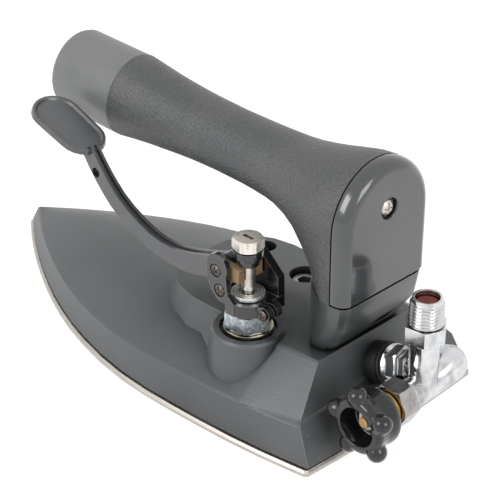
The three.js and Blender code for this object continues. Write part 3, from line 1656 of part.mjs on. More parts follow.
function finish(color, roughness, metalness) {
  return new THREE.MeshStandardMaterial({ color, roughness, metalness });
}
const soleMetal = () => finish(0xc8c0b8, 0.35, 0.9);
const blackPaint = () => finish(0x46494b, 0.5, 0.2);
const glossBlack = () => finish(0x3a3b3d, 0.2, 0.1);
const gripRubber = () => finish(0x3f4143, 0.85, 0);
const greyPlastic = () => finish(0x86898a, 0.45, 0);
const zinc = () => finish(0xa9b0b2, 0.3, 1);
const chrome = () => finish(0xd8dadb, 0.12, 1);
const stainless = () => finish(0xcfc6b8, 0.35, 1);
const darkSteel = () => finish(0x7d7a74, 0.4, 1);
const brass = () => finish(0xb08038, 0.35, 1);
const redPlug = () => finish(0x6e2b1c, 0.7, 0);
const sealBlack = () => finish(0x1c1c1c, 0.8, 0);

function add(group, name, solid, material, place = nowhere) {
  const mesh = new THREE.Mesh(toGeometry(solid), material);
  mesh.name = name;
  mesh.position.copy(place);
  group.add(mesh);
}

function groupAt(parent, place) {
  const group = new THREE.Group();
  group.position.copy(place);
  parent.add(group);
  return group;
}

const iron = new THREE.Group();
iron.position.x = -soleLength / 2;

add(iron, "sole_plate", solePlate(), soleMetal());
add(iron, "sole_gasket", soleGasket(), sealBlack());
add(iron, "steam_baffle", steamBaffle(), stainless());
add(iron, "chamber_casting", chamberCasting(), blackPaint());
for (const { name, x, y, rear } of soleScrews) {
  add(iron, name, socketScrew(rear), darkSteel(), at(x, y, 0));
}

const valve = groupAt(iron, at(valveX, valveY, bossTop));
add(valve, "valve_washer", valveWasher(), zinc());
add(valve, "valve_body", valveBody(), zinc());
add(valve, "valve_seat", valveSeat(), brass());
add(valve, "valve_disc", valveDisc(), sealBlack());
add(valve, "valve_spring", valveSpring(), stainless());
add(valve, "stem_packing", stemPacking(), sealBlack());
add(valve, "valve_top_disc", topDisc(), zinc());
add(valve, "valve_stem", valveStem(), stainless());
add(valve, "stem_collar", stemCollar(), blackPaint());
add(valve, "stem_cap", stemCap(), stainless());
add(valve, "valve_bracket", valveBracket(), glossBlack());

const cheekScrewSeat = nearFace - cheekCounterboreDepth + gap;
const stopShank = nearCheekThickness - cheekCounterboreDepth;
const pivotShank = cheekScrewSeat + cheekInner + farCheekThickness / 2;
add(
  valve, "pivot_screw",
  crossScrew(alongY, cheekScrewHead, cheekScrewHeadHeight, pivotPinRadius, pivotShank),
  darkSteel(), at(pivotX, cheekScrewSeat, pivotZ),
);
add(
  valve, "cheek_screw",
  crossScrew(alongY, cheekScrewHead, cheekScrewHeadHeight, stopScrewRadius, stopShank),
  darkSteel(), at(stopScrewX, cheekScrewSeat, stopScrewZ),
);
add(
  valve, "clamp_screw",
  crossScrew(alongY, clampScrewHead, clampScrewHeadHeight, clampScrewRadius, 2 * earFace),
  darkSteel(), at(-earReach, earFace + gap, clampFoot + earRadius),
);

const lever = groupAt(valve, at(pivotX, 0, pivotZ));
add(lever, "thumb_lever", thumbLever(), blackPaint());
add(lever, "lifter_fork", lifterFork(), brass());

const handle = groupAt(iron, nowhere);
add(handle, "handle_bracket", handleBracket(), blackPaint());
for (const [name, side] of [["bracket_bolt_left", 1], ["bracket_bolt_right", -1]]) {
  add(handle, name, bracketBolt(), darkSteel(), at(bracketBoltX, side * bracketBoltY, 0));
}
add(handle, "handle_core", handleCore(), darkSteel(), at(0, 0, gripAxisZ));
add(
  handle, "core_pin",
  bar(alongY, corePinRadius, -socketRadius, socketRadius, nowhere, holeSides),
  darkSteel(), at(corePinX, 0, gripAxisZ),
);
add(handle, "grip_sleeve", gripSleeve(), gripRubber());
add(handle, "front_cap", frontCap(), greyPlastic(), at(gripEnd + gap, 0, gripAxisZ));
add(handle, "rear_cover", rearCover(), glossBlack());
const backwards = at(-1, 0, 0);
add(
  handle, "cover_screw",
  crossScrew(backwards, coverScrewHead, coverScrewHeadHeight, coverScrewRadius, coverScrewLength),
  stainless(), at(coverBackX + coverScrewRecessDepth - gap, 0, coverScrewZ),
);

const flange = groupAt(iron, flangeFoot);
flange.quaternion.setFromUnitVectors(alongY, flangeAxis);
add(flange, "inlet_seal", flangeSeal(), sealBlack());
add(flange, "inlet_flange_nut", flangeNut(), chrome());

const inlet = groupAt(iron, inletOrigin);
add(inlet, "regulator_body", elbowBody(), chrome());
add(inlet, "inlet_nipple", inletNipple(), chrome());
add(inlet, "dust_plug", dustPlug(), redPlug());
add(inlet, "gland_nut", glandNut(), zinc());
add(inlet, "gland_ring", glandRing(), brass());
add(inlet, "needle_packing", needlePacking(), sealBlack());
add(inlet, "needle_tip", needleTip(), brass());
add(inlet, "needle_spindle", needleSpindle(), brass());
add(inlet, "regulator_knob", knob(), glossBlack());
add(inlet, "knob_nut", knobNut(), zinc());

export default iron;
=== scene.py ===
import json
import math

import bmesh
import bpy
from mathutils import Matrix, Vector


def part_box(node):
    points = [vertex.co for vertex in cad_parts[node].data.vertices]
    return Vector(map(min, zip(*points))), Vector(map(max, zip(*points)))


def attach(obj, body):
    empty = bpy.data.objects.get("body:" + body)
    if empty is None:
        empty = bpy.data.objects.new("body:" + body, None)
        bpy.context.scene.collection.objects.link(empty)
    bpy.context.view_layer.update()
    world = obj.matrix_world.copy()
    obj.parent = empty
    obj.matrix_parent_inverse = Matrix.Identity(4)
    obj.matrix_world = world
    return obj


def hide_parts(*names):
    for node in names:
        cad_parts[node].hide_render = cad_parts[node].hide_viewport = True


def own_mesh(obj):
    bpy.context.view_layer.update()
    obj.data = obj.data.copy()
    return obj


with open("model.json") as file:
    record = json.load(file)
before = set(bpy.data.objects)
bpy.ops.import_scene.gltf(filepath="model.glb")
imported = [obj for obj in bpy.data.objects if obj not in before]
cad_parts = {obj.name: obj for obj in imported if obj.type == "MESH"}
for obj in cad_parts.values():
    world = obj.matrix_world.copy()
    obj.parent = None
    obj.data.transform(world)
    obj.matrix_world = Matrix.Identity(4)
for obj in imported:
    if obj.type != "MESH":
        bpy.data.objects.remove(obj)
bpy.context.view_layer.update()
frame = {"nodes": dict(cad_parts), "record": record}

# Steam iron of the all-steam kind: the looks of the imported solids, in metres
MM = 0.001
nodes = frame["nodes"]

# Camera, where the photograph was taken from
CAMERA_PLACE = (-0.42381, 0.38868, 0.36853)
CAMERA_BACK = (-0.6113, 0.6070, 0.5079)  # from the iron towards the camera
CAMERA_LENS = 117.857  # in millimetres, as the sensor's width
CAMERA_SENSOR = 36.0
CAMERA_NEAREST = 10 * MM


def make_camera():
    lens = bpy.data.cameras.new("camera")
    lens.lens = CAMERA_LENS
    lens.sensor_width = CAMERA_SENSOR
    lens.clip_start = CAMERA_NEAREST
    camera = bpy.data.objects.new("camera", lens)
    bpy.context.scene.collection.objects.link(camera)
    camera.location = CAMERA_PLACE
    camera.rotation_euler = (-Vector(CAMERA_BACK)).to_track_quat("-Z", "Y").to_euler()
    bpy.context.scene.camera = camera


make_camera()
bpy.context.scene.view_settings.view_transform = "Standard"

# Shader arithmetic
MASK_SAMPLES = 6  # rays that feel for an edge or a gap
EDGE_START = 0.02  # turn of the normal at which an edge begins to show
NOISE_SPAN = (0.3, 0.7)  # where most of a noise lies
GAP_SHADE_TONE = (0.01, 0.012, 0.013)  # painted shade: the colour laid into deep gaps and hollows


class Field:
    """A number that changes over a surface, used in plain arithmetic."""

    def __init__(self, network, socket):
        self.network = network
        self.socket = socket

    def work(self, operation, *values):
        inputs = dict(enumerate(values))
        node = self.network.node("ShaderNodeMath", {"operation": operation}, inputs)
        return Field(self.network, node.outputs[0])

    def __add__(self, other):
        return self.work("ADD", self, other)

    def __radd__(self, other):
        return self.work("ADD", other, self)

    def __sub__(self, other):
        return self.work("SUBTRACT", self, other)

    def __rsub__(self, other):
        return self.work("SUBTRACT", other, self)

    def __mul__(self, other):
        return self.work("MULTIPLY", self, other)

    def __rmul__(self, other):
        return self.work("MULTIPLY", other, self)

    def most(self, other):
        return self.work("MAXIMUM", self, other)

    def wave(self):
        """0 to 1 and back for each whole step of the number."""
        return self.work("PINGPONG", self, 0.5) * 2.0

    def between(self, low, high):
        """0 below low, 1 above high, and a soft change in between."""
        node = self.network.node(
            "ShaderNodeMapRange",
            {"interpolation_type": "SMOOTHSTEP"},
            {"Value": self, "From Min": low, "From Max": high},
        )
        return Field(self.network, node.outputs["Result"])

    def spread(self):
        """A noise drawn out from its usual span to the whole of 0 to 1."""
        return self.between(*NOISE_SPAN)


class Network:
    """The shader nodes of one material or of the world."""

    def __init__(self, tree):
        self.tree = tree

    def node(self, kind, settings=None, inputs=None):
        """Any node: its settings are set first, then the values or links of its sockets."""
        node = self.tree.nodes.new(kind)
        for name, value in (settings or {}).items():
            setattr(node, name, value)
        for name, value in (inputs or {}).items():
            self.feed(node.inputs[name], value)
        return node

    def feed(self, socket, value):
        if isinstance(value, Field):
            value = value.socket
        if isinstance(value, bpy.types.NodeSocket):
            self.tree.links.new(value, socket)
        else:
            socket.default_value = value


class Finish(Network):
    """One material, and the patterns and masks that make it."""

    def __init__(self, name, **shader):
        self.material = bpy.data.materials.new(name)
        self.material.use_nodes = True
        super().__init__(self.material.node_tree)
        self.shader = self.tree.nodes["Principled BSDF"]
        self.place = self.node("ShaderNodeTexCoord").outputs["Object"]
        self.set(**shader)

    def set(self, **shader):
        """Sets or links the shader's sockets: base_color stands for Base Color."""
        for name, value in shader.items():
            label = name.replace("_", " ").title().replace("Ior", "IOR")
            if isinstance(value, tuple) and len(value) == 3:
                value = (*value, 1.0)
            self.feed(self.shader.inputs[label], value)

    def stretched(self, scale, turn=(0, 0, 0)):
        """Object coordinates, scaled and turned: a small scale draws the pattern out."""
        inputs = {"Vector": self.place, "Rotation": turn, "Scale": scale}
        return self.node("ShaderNodeMapping", None, inputs).outputs["Vector"]

    def noise(self, size, detail=2.0, roughness=0.5, place=None):
        """Clouds about as large as size, in metres of the place given."""
        inputs = {
            "Vector": place or self.place,
            "Scale": 1 / size,
            "Detail": detail,
            "Roughness": roughness,
        }
        return Field(self, self.node("ShaderNodeTexNoise", None, inputs).outputs[0])

    def cells(self, size, feature="F1"):
        """Distance to the nearest of scattered points, where 1 stands for size, their spacing."""
        inputs = {"Vector": self.place, "Scale": 1 / size}
        node = self.node("ShaderNodeTexVoronoi", {"feature": feature}, inputs)
        return Field(self, node.outputs["Distance"])

    def vector(self, operation, *values):
        inputs = dict(enumerate(values))
        return self.node("ShaderNodeVectorMath", {"operation": operation}, inputs)

    def from_axis(self, centre):
        """Distance in metres from the upright line through a centre."""
        shifted = self.vector("SUBTRACT", self.place, centre)
        across = self.vector("MULTIPLY", shifted.outputs["Vector"], (1, 1, 0))
        return Field(self, self.vector("LENGTH", across.outputs["Vector"]).outputs["Value"])

    def edge(self, radius, full=0.3):
        """0 on plain faces, rising to 1 within the radius of an edge that turns by full or more."""
        rounded = self.node("ShaderNodeBevel", {"samples": MASK_SAMPLES}, {"Radius": radius}).outputs[0]
        true = self.node("ShaderNodeNewGeometry").outputs["Normal"]
        agreement = Field(self, self.vector("DOT_PRODUCT", rounded, true).outputs["Value"])
        return (1.0 - agreement).between(EDGE_START, full)

    def hollow(self, distance, start, full):
        """0 in the open, 1 in gaps: start and full are the shares nearer than the distance for these."""
        inputs = {"Distance": distance}
        open_share = self.node("ShaderNodeAmbientOcclusion", {"samples": MASK_SAMPLES}, inputs)
        return (1.0 - Field(self, open_share.outputs["AO"])).between(start, full)

    def blend(self, share, first, second):
        """A colour between two colours."""
        node = self.node("ShaderNodeMix", {"data_type": "RGBA"}, {"Factor": share})
        ends = [socket for socket in node.inputs if socket.type == "RGBA"]
        for socket, colour in zip(ends, (first, second)):
            self.feed(socket, (*colour, 1.0) if isinstance(colour, tuple) else colour)
        return [socket for socket in node.outputs if socket.type == "RGBA"][0]

    def painted_shade(self, dim, colour):
        """Painted shade: base colour that darkens with dim towards the gap shade tone, and turns metallic
        there so that no gloss lights it.
        """
        self.set(base_color=self.blend(dim, colour, GAP_SHADE_TONE), metallic=dim)

    def relief(self, height, depth):
        """Feeds Normal with a height field; depth is the height of its full range."""
        inputs = {"Height": height, "Distance": depth}
        self.set(normal=self.node("ShaderNodeBump", None, inputs).outputs["Normal"])


# Finishes
low_corner, high_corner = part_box("valve_top_disc")
valve_centre = (Vector(low_corner) + Vector(high_corner)) / 2
GRIME = (0.2, 0.17, 0.13)  # dull film on bare metal
SLOT_BROWN = (0.08, 0.03, 0.012)  # rust in the cap's slot


def casting_paint():
    """Satin black stove paint on a sand casting."""
    paint = Finish("casting_paint", specular_ior_level=0.9)
    cloud = paint.noise(0.03, 3)
    grain = paint.noise(0.0007)
    lump = paint.noise(0.004, 3)
    speck = 1.0 - paint.cells(0.012).between(0.014, 0.022)
    # Painted shade in gaps and wider hollows, and a painted shadow near the valve's axis under the handle;
    # both darken the base colour below
    deep = paint.hollow(0.009, 0.12, 0.8)
    near_valve = 1.0 - paint.from_axis(valve_centre).between(0.026, 0.045)
    valve_shadow = near_valve * paint.hollow(0.06, 0.3, 0.5)
    shade = paint.hollow(0.035, 0.3, 0.8).most(valve_shadow)
    tone = paint.blend(cloud.spread(), (0.064, 0.07, 0.074), (0.082, 0.087, 0.091))
    worn = paint.blend(paint.edge(0.0008) * 0.4, tone, (0.2, 0.2, 0.2))
    spotted = paint.blend(speck * 0.8, worn, (0.5, 0.5, 0.48))
    paint.painted_shade((deep * 0.8).most(shade * 0.85), spotted)
    paint.set(roughness=0.33 + grain * 0.12 + cloud * 0.08)
    paint.relief(grain * 0.6 + lump * 0.4, 0.00012)
    return paint.material


def foot_paint():
    """Black paint on the handle's foot, glossier than the casting's."""
    paint = Finish("foot_paint", specular_ior_level=0.8, coat_weight=0.3, coat_roughness=0.12)
    cloud = paint.noise(0.02, 3)
    grain = paint.noise(0.0008)
    tone = paint.blend(cloud.spread(), (0.038, 0.043, 0.045), (0.054, 0.059, 0.061))
    worn = paint.blend(paint.edge(0.0008) * 0.3, tone, (0.16, 0.16, 0.16))
    # Painted shade in gaps and hollows
    paint.painted_shade(paint.hollow(0.01, 0.2, 0.8) * 0.8, worn)
    paint.set(roughness=0.28 + grain * 0.12)
    paint.relief(grain, 0.00006)
    return paint.material


def sole_metal():
    """Ground aluminium, with fine lines along the edge and the underside."""
    metal = Finish("sole_metal", metallic=1.0)
    lines = metal.noise(0.02, 3, 0.6, metal.stretched((1, 12, 60)))
    cloud = metal.noise(0.015, 3)
    tone = metal.blend(lines.between(0.3, 0.75), (0.42, 0.39, 0.36), (0.58, 0.55, 0.51))
    metal.set(base_color=metal.blend(metal.edge(0.0006) * 0.3, tone, (0.72, 0.7, 0.66)))
    metal.set(roughness=0.3 + lines * 0.15 + cloud * 0.08)
    metal.relief(lines, 0.00003)
    return metal.material


def grip_rubber():
    """Dark moulded grip with a leathery pebble."""
    rubber = Finish("grip_rubber", specular_ior_level=0.8)
    pebble = rubber.cells(0.0008, "SMOOTH_F1")
    fine = rubber.noise(0.0006)
    cloud = rubber.noise(0.02, 4)
    tone = rubber.blend(cloud.spread(), (0.062, 0.066, 0.069), (0.085, 0.087, 0.088))
    # Painted shade: darker in the creases between the pebbles
    pebble_crease_shade = rubber.blend(pebble.between(0.3, 0.8) * 0.6, tone, (0.025, 0.027, 0.028))
    # Painted shade in the grip's hollows
    rubber.painted_shade(rubber.hollow(0.03, 0.35, 0.85) * 0.7, pebble_crease_shade)
    rubber.set(roughness=0.34 + fine * 0.2)
    rubber.relief((1.0 - pebble) + fine * 0.7, 0.00026)
    return rubber.material


def cap_plastic():
    """Smooth mid-grey moulding with a faint sheen."""
    plastic = Finish("cap_plastic", specular_ior_level=0.7)
    cloud = plastic.noise(0.02, 3)
    fine = plastic.noise(0.0003)
    drawn = plastic.noise(0.004, place=plastic.stretched((0.1, 1, 1)))
    tone = plastic.blend(cloud.spread(), (0.175, 0.179, 0.183), (0.205, 0.208, 0.212))
    streaked = plastic.blend(drawn.between(0.35, 0.75) * 0.3, tone, (0.15, 0.154, 0.158))
    plastic.set(base_color=streaked)
    plastic.set(roughness=0.32 + fine * 0.08 + cloud * 0.06)
    plastic.relief(fine, 0.00001)
    return plastic.material


def cover_plastic():
    """Glossy moulded cover, with faint scuffs."""
    plastic = Finish("cover_plastic", specular_ior_level=0.7, coat_weight=0.7, coat_roughness=0.05)
    cloud = plastic.noise(0.02, 3)
    scuff = plastic.noise(0.012, 5, 0.7, plastic.stretched((1, 5, 1), (0.6, 0, 0.3)))
    tone = plastic.blend(cloud.spread(), (0.036, 0.039, 0.041), (0.05, 0.053, 0.055))
    # Painted shade in gaps
    plastic.painted_shade(plastic.hollow(0.004, 0.25, 0.9) * 0.8, tone)
    plastic.set(roughness=0.2 + scuff.between(0.5, 0.8) * 0.12)
    plastic.relief(plastic.noise(0.012), 0.00006)
    return plastic.material


def lever_paint():
    """Satin dark enamel of the lever and its pad."""
    paint = Finish("lever_paint", specular_ior_level=0.8, coat_weight=0.25, coat_roughness=0.12)
    cloud = paint.noise(0.012, 3)
    grain = paint.noise(0.0007)
    tone = paint.blend(cloud.spread(), (0.06, 0.064, 0.068), (0.08, 0.083, 0.087))
    worn = paint.blend(paint.edge(0.0005) * 0.5, tone, (0.26, 0.26, 0.27))
    # Painted shade in gaps
    paint.painted_shade(paint.hollow(0.004, 0.12, 0.6) * 0.8, worn)
    paint.set(roughness=0.27 + grain * 0.12)
    paint.relief(grain, 0.00004)
    return paint.material


def gloss_black(name, tone, edge_wear_and_highlight, shine):
    """Glossy black enamel or hard plastic."""
    gloss = Finish(name, coat_weight=shine, coat_roughness=0.05, specular_ior_level=shine)
    cloud = gloss.noise(0.01, 3)
    dark = (tone, tone, tone * 1.06)
    pale = (tone * 1.5, tone * 1.5, tone * 1.55)
    # Lighter edges: edge wear, and a painted highlight along them
    worn = gloss.blend(gloss.edge(0.0005, 0.25) * edge_wear_and_highlight, gloss.blend(cloud, dark, pale), (0.34, 0.34, 0.345))
    gloss.set(base_color=worn)
    gloss.set(roughness=0.12 + cloud * 0.1)
    gloss.relief(gloss.noise(0.002, 3), 0.00004)
    return gloss.material


def plated(name, low, high, roughness, grain_size=0.0015, metallic=1.0, patches=0.3, deep=0.0012):
    """Bright or plated metal with a fine grain and darker patches that are part stain and part painted
    reflection of dark surroundings, with painted shade in its slots and gaps.
    """
    metal = Finish(name, metallic=metallic)
    grain = metal.noise(grain_size, 3, 0.6)
    cloud = metal.noise(0.008, 3)
    bright = tuple(min(1.0, channel * 1.3) for channel in high)
    dark_patch_tone = tuple(channel * 0.3 for channel in low)
    patch = metal.noise(0.009, 3, place=metal.stretched((1, 1, 0.5), (0.5, 0.3, 0.2)))
    tone = metal.blend(grain.spread(), low, high)
    # Darker patches: part stain, part painted reflection of dark surroundings
    patched = metal.blend(patch.between(0.48, 0.66) * patches, tone, dark_patch_tone)
    worn = metal.blend(metal.edge(0.0004, 0.35) * 0.6, patched, bright)
    # Painted shade in slots and gaps
    metal.set(base_color=metal.blend(metal.hollow(deep, 0.35, 0.85) * 0.85, worn, GAP_SHADE_TONE))
    metal.set(roughness=roughness + grain * 0.12 + cloud * 0.06)
    metal.relief(grain, 0.00003)
    return metal.material


def turned_disc(name, low, high, pitch, gap=0.0012, gap_tone=GAP_SHADE_TONE):
    """Metal on the valve's axis, with the fine rings that a lathe leaves round it."""
    metal = Finish(name, metallic=0.8)
    rings = (metal.from_axis(valve_centre) * (1 / pitch)).wave()
    stain = metal.noise(0.003, 3)
    tone = metal.blend(rings.between(0.1, 0.9), low, high)
    stained = metal.blend(stain.between(0.5, 0.7) * 0.4, tone, GRIME)
    worn = metal.blend(metal.edge(0.0003) * 0.5, stained, (0.9, 0.88, 0.84))
    # Painted shade in gaps, in gap_tone; in the cap's slot it is dark rust brown
    metal.set(base_color=metal.blend(metal.hollow(gap, 0.25, 0.6) * 0.85, worn, gap_tone))
    metal.set(roughness=0.26 + stain * 0.18)
    metal.relief(rings * 0.6 + stain * 0.4, 0.00005)
    return metal.material


def turned_brass():
    """Brass with faint lathe lines and brown stains."""
    brass = Finish("turned_brass", metallic=1.0)
    lines = brass.noise(0.004, 3, 0.6, brass.stretched((1, 30, 1)))
    stain = brass.noise(0.004, 4).between(0.45, 0.7)
    tone = brass.blend(lines, (0.6, 0.4, 0.15), (0.86, 0.62, 0.3))
    brass.set(base_color=brass.blend(stain * 0.5, tone, (0.3, 0.16, 0.05)))
    brass.set(roughness=0.22 + lines * 0.15 + stain * 0.15)
    brass.relief(lines, 0.00003)
    return brass.material


def threaded_brass():
    """Brass with thread lines round the knob's axis."""
    brass = Finish("threaded_brass", metallic=1.0)
    turns = brass.noise(0.0005, place=brass.stretched((0.01, 1, 0.01))).between(0.35, 0.65)
    brass.set(base_color=brass.blend(turns, (0.33, 0.19, 0.045), (0.62, 0.41, 0.13)))
    brass.set(roughness=0.28 + turns * 0.1)
    brass.relief(turns, 0.0001)
    return brass.material


def cast_bronze():
    """Dull tan bronze of the fork, as it came from the mould."""
    bronze = Finish("cast_bronze", metallic=0.35)
    grain = bronze.noise(0.0008, 4, 0.6)
    stain = bronze.noise(0.003, 3).between(0.4, 0.75)
    tone = bronze.blend(grain, (0.28, 0.18, 0.09), (0.45, 0.31, 0.18))
    bronze.set(base_color=bronze.blend(stain * 0.6, tone, (0.14, 0.08, 0.04)))
    bronze.set(roughness=0.42 + grain * 0.2)
    bronze.relief(grain, 0.0001)
    return bronze.material


def soft_seal(name, low, high):
    """Matt rubber of seals and plugs."""
    rubber = Finish(name)
    grain = rubber.noise(0.0012, 3)
    cloud = rubber.noise(0.006, 3)
    rubber.set(base_color=rubber.blend(cloud.spread(), low, high))
    rubber.set(roughness=0.5 + grain * 0.2)
    rubber.relief(grain, 0.00008)
    return rubber.material


finishes = {
    "sole": sole_metal(),
    "casting": casting_paint(),
    "foot": foot_paint(),
    "lever": lever_paint(),
    "bracket": gloss_black("bracket_enamel", 0.008, edge_wear_and_highlight=0.6, shine=0.6),
    "grip": grip_rubber(),
    "cap": cap_plastic(),
    "cover": cover_plastic(),
    "knob": gloss_black("knob_plastic", 0.01, edge_wear_and_highlight=0.25, shine=0.4),
    "zinc": plated("zinc_plate", (0.26, 0.31, 0.34), (0.62, 0.66, 0.68), 0.2, 0.0012, patches=0.4),
    "screws": plated("dark_plate", (0.07, 0.06, 0.055), (0.2, 0.175, 0.16), 0.28, metallic=0.9, deep=0.012),
    "stainless": plated("turned_stainless", (0.55, 0.51, 0.46), (0.76, 0.71, 0.65), 0.26),
    "chrome": plated("polished_chrome", (0.6, 0.61, 0.62), (0.74, 0.74, 0.75), 0.06, 0.004, patches=0.55),
    "brass": turned_brass(),
    "plug": soft_seal("plug_rubber", (0.13, 0.022, 0.012), (0.22, 0.04, 0.02)),
    "seals": soft_seal("black_rubber", (0.015, 0.015, 0.015), (0.03, 0.03, 0.03)),
    "baffle": plated("sheet_steel", (0.4, 0.4, 0.4), (0.6, 0.6, 0.6), 0.35),
}

# Solids whose finish differs a little from the rest of their slot
own_finishes = {
    "lifter_fork": cast_bronze(),
    "gland_ring": threaded_brass(),
    "gland_nut": plated("nickel_plate", (0.4, 0.38, 0.37), (0.52, 0.5, 0.485), 0.16, 0.003),
    "knob_nut": plated("bright_zinc", (0.55, 0.55, 0.53), (0.8, 0.8, 0.78), 0.35, metallic=0.6),
    "valve_washer": plated("gold_zinc", (0.36, 0.32, 0.23), (0.58, 0.53, 0.42), 0.22),
    "sole_gasket": soft_seal("grey_gasket", (0.12, 0.12, 0.12), (0.2, 0.195, 0.19)),
    "valve_top_disc": turned_disc("turned_disc", (0.66, 0.67, 0.67), (0.95, 0.95, 0.94), 0.0011),
    "stem_cap": turned_disc(
        "cap_steel", (0.74, 0.7, 0.63), (0.86, 0.82, 0.75), 0.0008, gap=0.0025, gap_tone=SLOT_BROWN
    ),
}
sole_screw_steel = plated("sole_screw_steel", (0.3, 0.31, 0.31), (0.5, 0.51, 0.5), 0.28, deep=0.006)
for corner in ("front_left", "front_right", "rear_left", "rear_right"):
    own_finishes["sole_screw_" + corner] = sole_screw_steel

# Edges: width of each solid's rounding in millimetres; the others get EDGE_WIDTH
EDGE_WIDTH = 0.15
edge_widths = {
    "sole_plate": 0.25,
    "chamber_casting": 0.7,
    "grip_sleeve": 0.5,
    "front_cap": 0.35,
    "rear_cover": 0.5,
    "handle_bracket": 0.7,
    "thumb_lever": 0.25,
    "valve_bracket": 0.3,
    "lifter_fork": 0.3,
    "regulator_body": 0.25,
    "inlet_nipple": 0.1,
}
EDGE_STEPS = 2
EDGE_ANGLE = math.radians(28)  # an edge that turns less stays as it is
CRISP_ANGLE = math.radians(16)
crisp_nodes = ["thumb_lever", "stem_cap", "valve_top_disc", "valve_body"]  # rounded from CRISP_ANGLE on
FLAT_ANGLE = math.radians(0.6)  # faces that turn less than this become one
fine_nodes = ["inlet_nipple"]  # whose small faces all stay
WELD = 1e-6
FACE_WEIGHT = 90  # how far the large faces settle the shading of their rounded edges


def dress(node, slot):
    """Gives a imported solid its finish, and rounds its edges a little."""
    solid = nodes[node]
    solid.data.materials.clear()
    solid.data.materials.append(own_finishes.get(node, finishes[slot]))
    solid.data.polygons.foreach_set("use_smooth", [True] * len(solid.data.polygons))
    weld = solid.modifiers.new("weld", "WELD")
    weld.merge_threshold = WELD
    if node not in fine_nodes:
        flat = solid.modifiers.new("flat", "DECIMATE")
        flat.decimate_type = "DISSOLVE"
        flat.angle_limit = FLAT_ANGLE
    bevel = solid.modifiers.new("edge", "BEVEL")
    bevel.width = edge_widths.get(node, EDGE_WIDTH) * MM
    bevel.segments = EDGE_STEPS
    bevel.limit_method = "ANGLE"
    bevel.angle_limit = CRISP_ANGLE if node in crisp_nodes else EDGE_ANGLE
    shading = solid.modifiers.new("shading", "WEIGHTED_NORMAL")
    shading.weight = FACE_WEIGHT


for subpart in frame["record"]["subparts"]:
    dress(subpart["node"], subpart["material_slot"])


def mesh_piece(name, mesh):
    data = bpy.data.meshes.new(name)
    mesh.to_mesh(data)
    mesh.free()
    piece = bpy.data.objects.new(name, data)
    bpy.context.scene.collection.objects.link(piece)
    return piece


def copied_piece(name, node, body, slot):
    """A piece made from a dressed solid's own merged mesh, which it then stands for."""
    mesh = bmesh.new()
    mesh.from_mesh(nodes[node].data)
    bmesh.ops.remove_doubles(mesh, verts=mesh.verts, dist=WELD)
    piece = mesh_piece(name, mesh)
    piece.data.materials.append(finishes[slot])
    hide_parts(node)
    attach(piece, body)
    return piece


# Knob
KNOB_VOXEL = 0.4 * MM
KNOB_SOFTENING = 0.5
KNOB_ROUNDS = 9


def softened_knob():
    """The moulded knob: its nubs flow into the rim with soft hollows."""
    knob = copied_piece("moulded_knob", "regulator_knob", "knob", "knob")
    skin = knob.modifiers.new("skin", "REMESH")
    skin.mode = "VOXEL"
    skin.voxel_size = KNOB_VOXEL
    skin.use_smooth_shade = True
    soft = knob.modifiers.new("soft", "SMOOTH")
    soft.factor = KNOB_SOFTENING
    soft.iterations = KNOB_ROUNDS


softened_knob()


# Closing spring
def closing_coil():
    """The spring over the valve's disc, copied from its solid into a piece of its own."""
    coil = copied_piece("closing_coil", "valve_spring", "base", "stainless")
    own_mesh(coil)


closing_coil()

# World: the room lights the object softly, and looks white to the camera and in reflections
ROOM_LIGHT = 0.5
ROOM_WHITE = 1.0
WHITE = (1, 1, 1, 1)


def seen_rays(network):
    """1 for the camera's rays, reflections and glass, and 0 for the rays that only bring light."""
    rays = network.node("ShaderNodeLightPath").outputs
    kinds = ("Is Camera Ray", "Is Glossy Ray", "Is Transmission Ray")
    camera, glossy, glass = [Field(network, rays[kind]) for kind in kinds]
    return camera.most(glossy).most(glass)


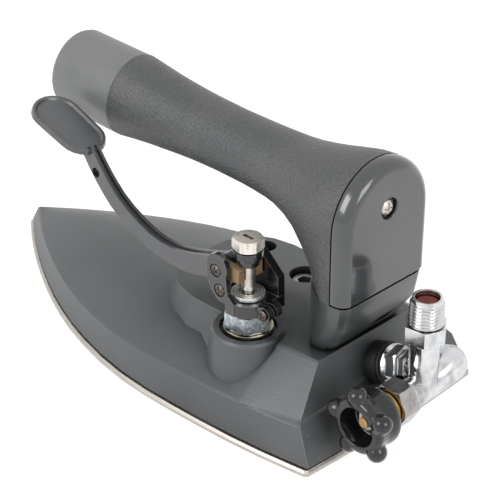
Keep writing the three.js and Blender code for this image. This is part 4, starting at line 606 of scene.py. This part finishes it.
def make_room():
    world = bpy.data.worlds.new("room")
    world.use_nodes = True
    bpy.context.scene.world = world
    room = Network(world.node_tree)
    room.tree.nodes.clear()
    dim = room.node("ShaderNodeBackground", None, {"Color": WHITE, "Strength": ROOM_LIGHT})
    white = room.node("ShaderNodeBackground", None, {"Color": WHITE, "Strength": ROOM_WHITE})
    inputs = {0: seen_rays(room), 1: dim.outputs[0], 2: white.outputs[0]}
    mixed = room.node("ShaderNodeMixShader", None, inputs)
    room.node("ShaderNodeOutputWorld", None, {"Surface": mixed.outputs[0]})


make_room()

# Floor
FLOOR_WIDTH = 6.0
FLOOR_TONE = (0.8, 0.8, 0.8)  # for the light that it throws up to the object
FLOOR_GLOW = 0.7  # what the camera sees: this glow, and a tone that takes the shadow
SHADOW_TONE = (0.6, 0.6, 0.6, 1)


def floor_finish():
    """Pale floor that shows white, and darker only in the object's shadow."""
    floor = Finish("floor", base_color=FLOOR_TONE, roughness=1.0, specular_ior_level=0.0)
    glow = floor.node("ShaderNodeEmission", None, {"Strength": FLOOR_GLOW})
    pale = floor.node("ShaderNodeBsdfDiffuse", None, {"Color": SHADOW_TONE})
    both = floor.node("ShaderNodeAddShader", None, {0: glow.outputs[0], 1: pale.outputs[0]})
    inputs = {0: seen_rays(floor), 1: floor.shader.outputs[0], 2: both.outputs[0]}
    mixed = floor.node("ShaderNodeMixShader", None, inputs)
    floor.feed(floor.tree.nodes["Material Output"].inputs["Surface"], mixed.outputs[0])
    return floor.material


def make_floor():
    mesh = bmesh.new()
    bmesh.ops.create_grid(mesh, x_segments=1, y_segments=1, size=FLOOR_WIDTH / 2)
    floor = mesh_piece("floor", mesh)
    floor.data.materials.append(floor_finish())


make_floor()

# Lamps: place, power in watts and width, all turned towards LAMP_AIM
LAMP_AIM = Vector((0, 0, 0.05))
lamps = {
    "key_lamp": ((0.3, 1.5, 1.0), 13, 0.9),
    "heel_lamp": ((-1.5, 0.1, 0.9), 8, 0.8),
}


def lamp(name, place, power, width):
    light = bpy.data.lights.new(name, "AREA")
    light.energy = power
    light.size = width
    holder = bpy.data.objects.new(name, light)
    bpy.context.scene.collection.objects.link(holder)
    holder.location = place
    holder.rotation_euler = (LAMP_AIM - Vector(place)).to_track_quat("-Z", "Y").to_euler()


for name, (place, power, width) in lamps.items():
    lamp(name, place, power, width)
